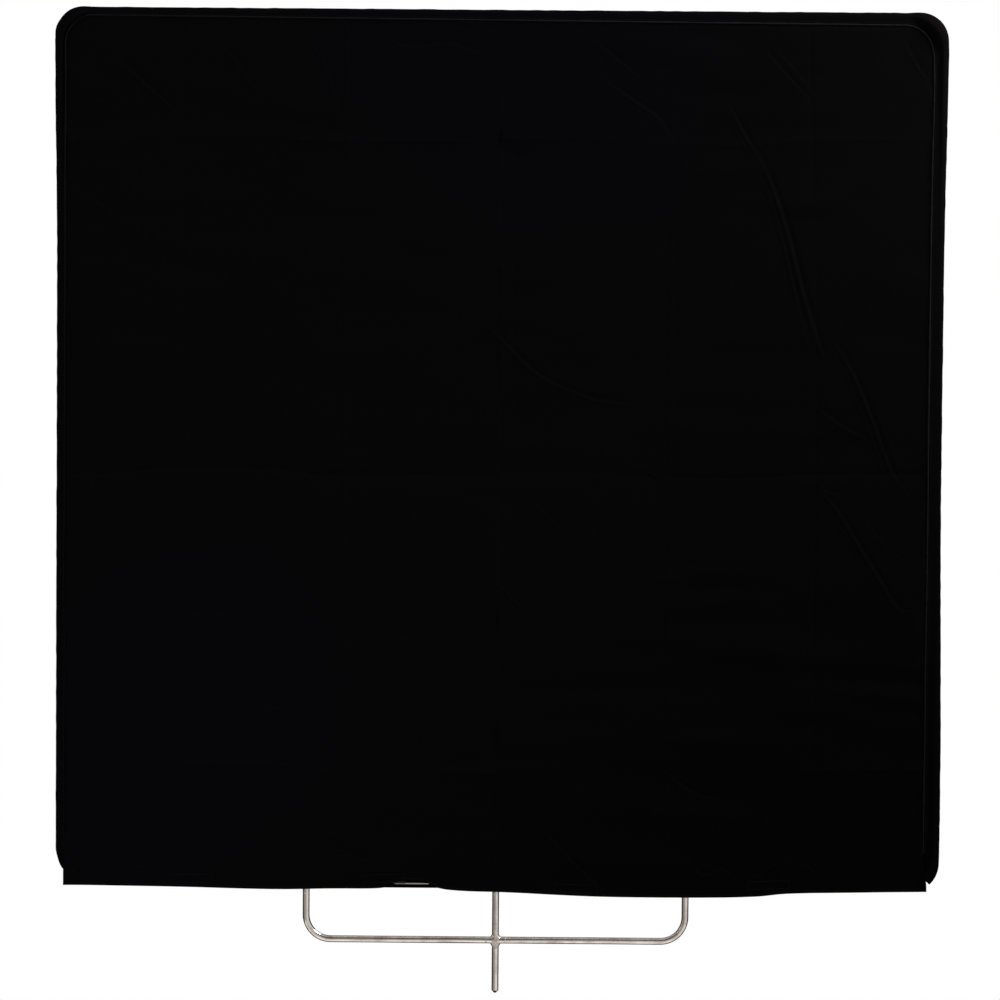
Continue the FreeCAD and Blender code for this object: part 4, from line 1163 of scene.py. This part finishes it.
class FLAG_OT_studio(bpy.types.Operator):
    """Pale floor, soft lamps, dark cards beside the steel, and the camera"""
    bl_idname = "flag_frame.studio"
    bl_label = "Studio"

    def execute(self, context):
        studio = context.scene.flag_studio
        scene = context.scene
        scene.view_settings.view_transform = "Standard"
        middle = Vector((0, 0, (PIN_LOW.z + RING_HIGH.z) / 2))
        floor_z = PIN_LOW.z - studio.floor_drop

        world = bpy.data.worlds.new("studio_air")
        scene.world = world
        world.use_nodes = True
        tree = world.node_tree
        tree.nodes.clear()
        level = add_node(tree, "MapRange", {"Value": seen_ray(tree)}, To_Min=studio.sky_level, To_Max=1.0)
        sky = add_node(tree, "Background", {"Strength": level.outputs["Result"]})
        sky.inputs["Color"].default_value = (1, 1, 1, 1)
        add_node(tree, "OutputWorld", {"Surface": sky.outputs["Background"]})

        paper, tree = new_material("matt_white_paper")
        place = add_node(tree, "TexCoord").outputs["Object"]
        fibre = add_node(tree, "TexNoise", {"Vector": place}, Scale=300.0, Detail=2.0)
        bump = add_node(tree, "Bump", {"Height": fibre.outputs["Fac"]}, Strength=0.1, Distance=0.2 * MM)
        matt = add_node(tree, "BsdfDiffuse", {"Normal": bump.outputs["Normal"]})
        matt.inputs["Color"].default_value = (*linear(0xF2F2F0), 1)
        far = add_node(tree, "VectorMath", {0: place}, operation="LENGTH")
        mask = add_node(tree, "MapRange", {"Value": far.outputs["Value"]}, From_Min=1.2, From_Max=3.0)
        share = add_node(tree, "Math", {0: mask.outputs["Result"], 1: seen_ray(tree)}, operation="MULTIPLY")
        glow = add_node(tree, "Emission", Strength=1.0)
        both = add_node(tree, "MixShader", {"Fac": share.outputs["Value"], 1: matt.outputs["BSDF"],
                                            2: glow.outputs["Emission"]})
        add_node(tree, "OutputMaterial", {"Surface": both.outputs["Shader"]})
        floor_reach = 40.0
        spokes = np.linspace(0, 2 * math.pi, 64, endpoint=False)
        rim = [(floor_reach * math.cos(a), floor_reach * math.sin(a), 0) for a in spokes]
        floor = mesh_object("studio_floor", rim, [tuple(range(64))], paper, smooth=False)
        floor.location.z = floor_z

        # Cards that only the steel mirrors: they give upright rods dark edges and a greyer left half,
        # and level rods a grey upper half.
        quarter = math.pi / 2
        for name, colour, centre, width, height, turns in (
            ("dark_card_behind", 0x0E0D0C, (0, 1.6, 0.6), 5.6, 5.0, (0, 0, 0)),
            ("dark_card_left", 0x0E0D0C, (-2.6, 0.65, 0.6), 1.9, 5.0, (0, 0, quarter)),
            ("dark_card_right", 0x0E0D0C, (2.6, 0.65, 0.6), 1.9, 5.0, (0, 0, quarter)),
            ("grey_card_left", 0xA09C98, (-2.6, -2.0, 0.6), 3.4, 5.0, (0, 0, quarter)),
            ("grey_card_before", 0xB8B4B0, (-1.5, -3.8, 0.6), 3.4, 5.0, (0, 0, 0)),
            ("dark_card_below", 0x3A3836, (0, 0.75, floor_z + 20 * MM), 5.2, 1.6, (quarter, 0, 0)),
            ("grey_card_above", 0x6E6A66, (0, -2.6, 2.4), 5.0, 3.4, (math.radians(-35), 0, 0)),
        ):
            paint, tree = new_material(name + "_paint")
            tone = add_node(tree, "Emission", Strength=1.0)
            tone.inputs["Color"].default_value = (*linear(colour), 1)
            add_node(tree, "OutputMaterial", {"Surface": tone.outputs["Emission"]})
            corners = [(-width / 2, 0, -height / 2), (width / 2, 0, -height / 2),
                       (width / 2, 0, height / 2), (-width / 2, 0, height / 2)]
            card = mesh_object(name, corners, [(0, 1, 2, 3)], paint, smooth=False)
            card.location = centre
            card.rotation_euler = turns
            card.visible_camera = False
            card.visible_diffuse = False
            card.visible_shadow = False

        # Power of a lamp that lights a face at right angles to it at the plain level from 1 m away.
        lamp_power = studio.lamp_level * math.pi ** 2
        for name, place, size, share in (
            ("key_softbox", (2.2, -0.9, 2.9), 1.2, 0.7),
            ("fill_softbox", (-3.0, -1.3, 1.4), 1.6, 0.3),
            ("back_softbox", (-1.8, 2.6, 2.2), 1.6, 0.7),
        ):
            lamp = bpy.data.lights.new(name, "AREA")
            lamp.shape = "SQUARE"
            lamp.size = size
            span = Vector(place) - middle
            lamp.energy = lamp_power * share * span.length ** 3 / abs(span.y)
            holder = bpy.data.objects.new(name, lamp)
            scene.collection.objects.link(holder)
            aim(holder, place, middle)

        view = bpy.data.cameras.new("studio_camera")
        view.lens = view.sensor_width * studio.focal_share
        camera = bpy.data.objects.new("studio_camera", view)
        scene.collection.objects.link(camera)
        camera.location = (studio.camera_side, -studio.camera_distance, studio.camera_height)
        camera.rotation_euler = (math.pi / 2 - studio.camera_tilt, 0, studio.camera_turn)
        camera.rotation_euler.rotate_axis("Z", studio.camera_roll)
        scene.camera = camera
        return {"FINISHED"}


class FLAG_PT_panel(bpy.types.Panel):
    bl_idname = "FLAG_PT_panel"
    bl_label = "Flag frame"
    bl_space_type = "VIEW_3D"
    bl_region_type = "UI"
    bl_category = "Flag Frame"

    def draw(self, context):
        for operator in OPERATORS:
            self.layout.operator(operator.bl_idname)
        for group, settings in SETTINGS.items():
            box = self.layout.box()
            for name in settings.__annotations__:
                box.prop(getattr(context.scene, group), name)


SETTINGS = {
    "flag_cloth": FlagClothSizes,
    "flag_sewing": FlagSewingSizes,
    "flag_steel": FlagSteelSizes,
    "flag_studio": FlagStudioSizes,
}
OPERATORS = [
    FLAG_OT_steel,
    FLAG_OT_back_cloth,
    FLAG_OT_front_cloth,
    FLAG_OT_edge_seam,
    FLAG_OT_stitching,
    FLAG_OT_wrap_flaps,
    FLAG_OT_tapes,
    FLAG_OT_studio,
]


def register():
    for settings in SETTINGS.values():
        bpy.utils.register_class(settings)
    for operator in (*OPERATORS, FLAG_PT_panel):
        bpy.utils.register_class(operator)
    for group, settings in SETTINGS.items():
        setattr(bpy.types.Scene, group, PointerProperty(type=settings))


def unregister():
    for group in SETTINGS:
        delattr(bpy.types.Scene, group)
    for operator in (FLAG_PT_panel, *reversed(OPERATORS)):
        bpy.utils.unregister_class(operator)
    for settings in reversed(SETTINGS.values()):
        bpy.utils.unregister_class(settings)


def main():
    register()
    for operator in OPERATORS:
        group, name = operator.bl_idname.split(".")
        getattr(getattr(bpy.ops, group), name)()


if __name__ == "__main__":
    main()
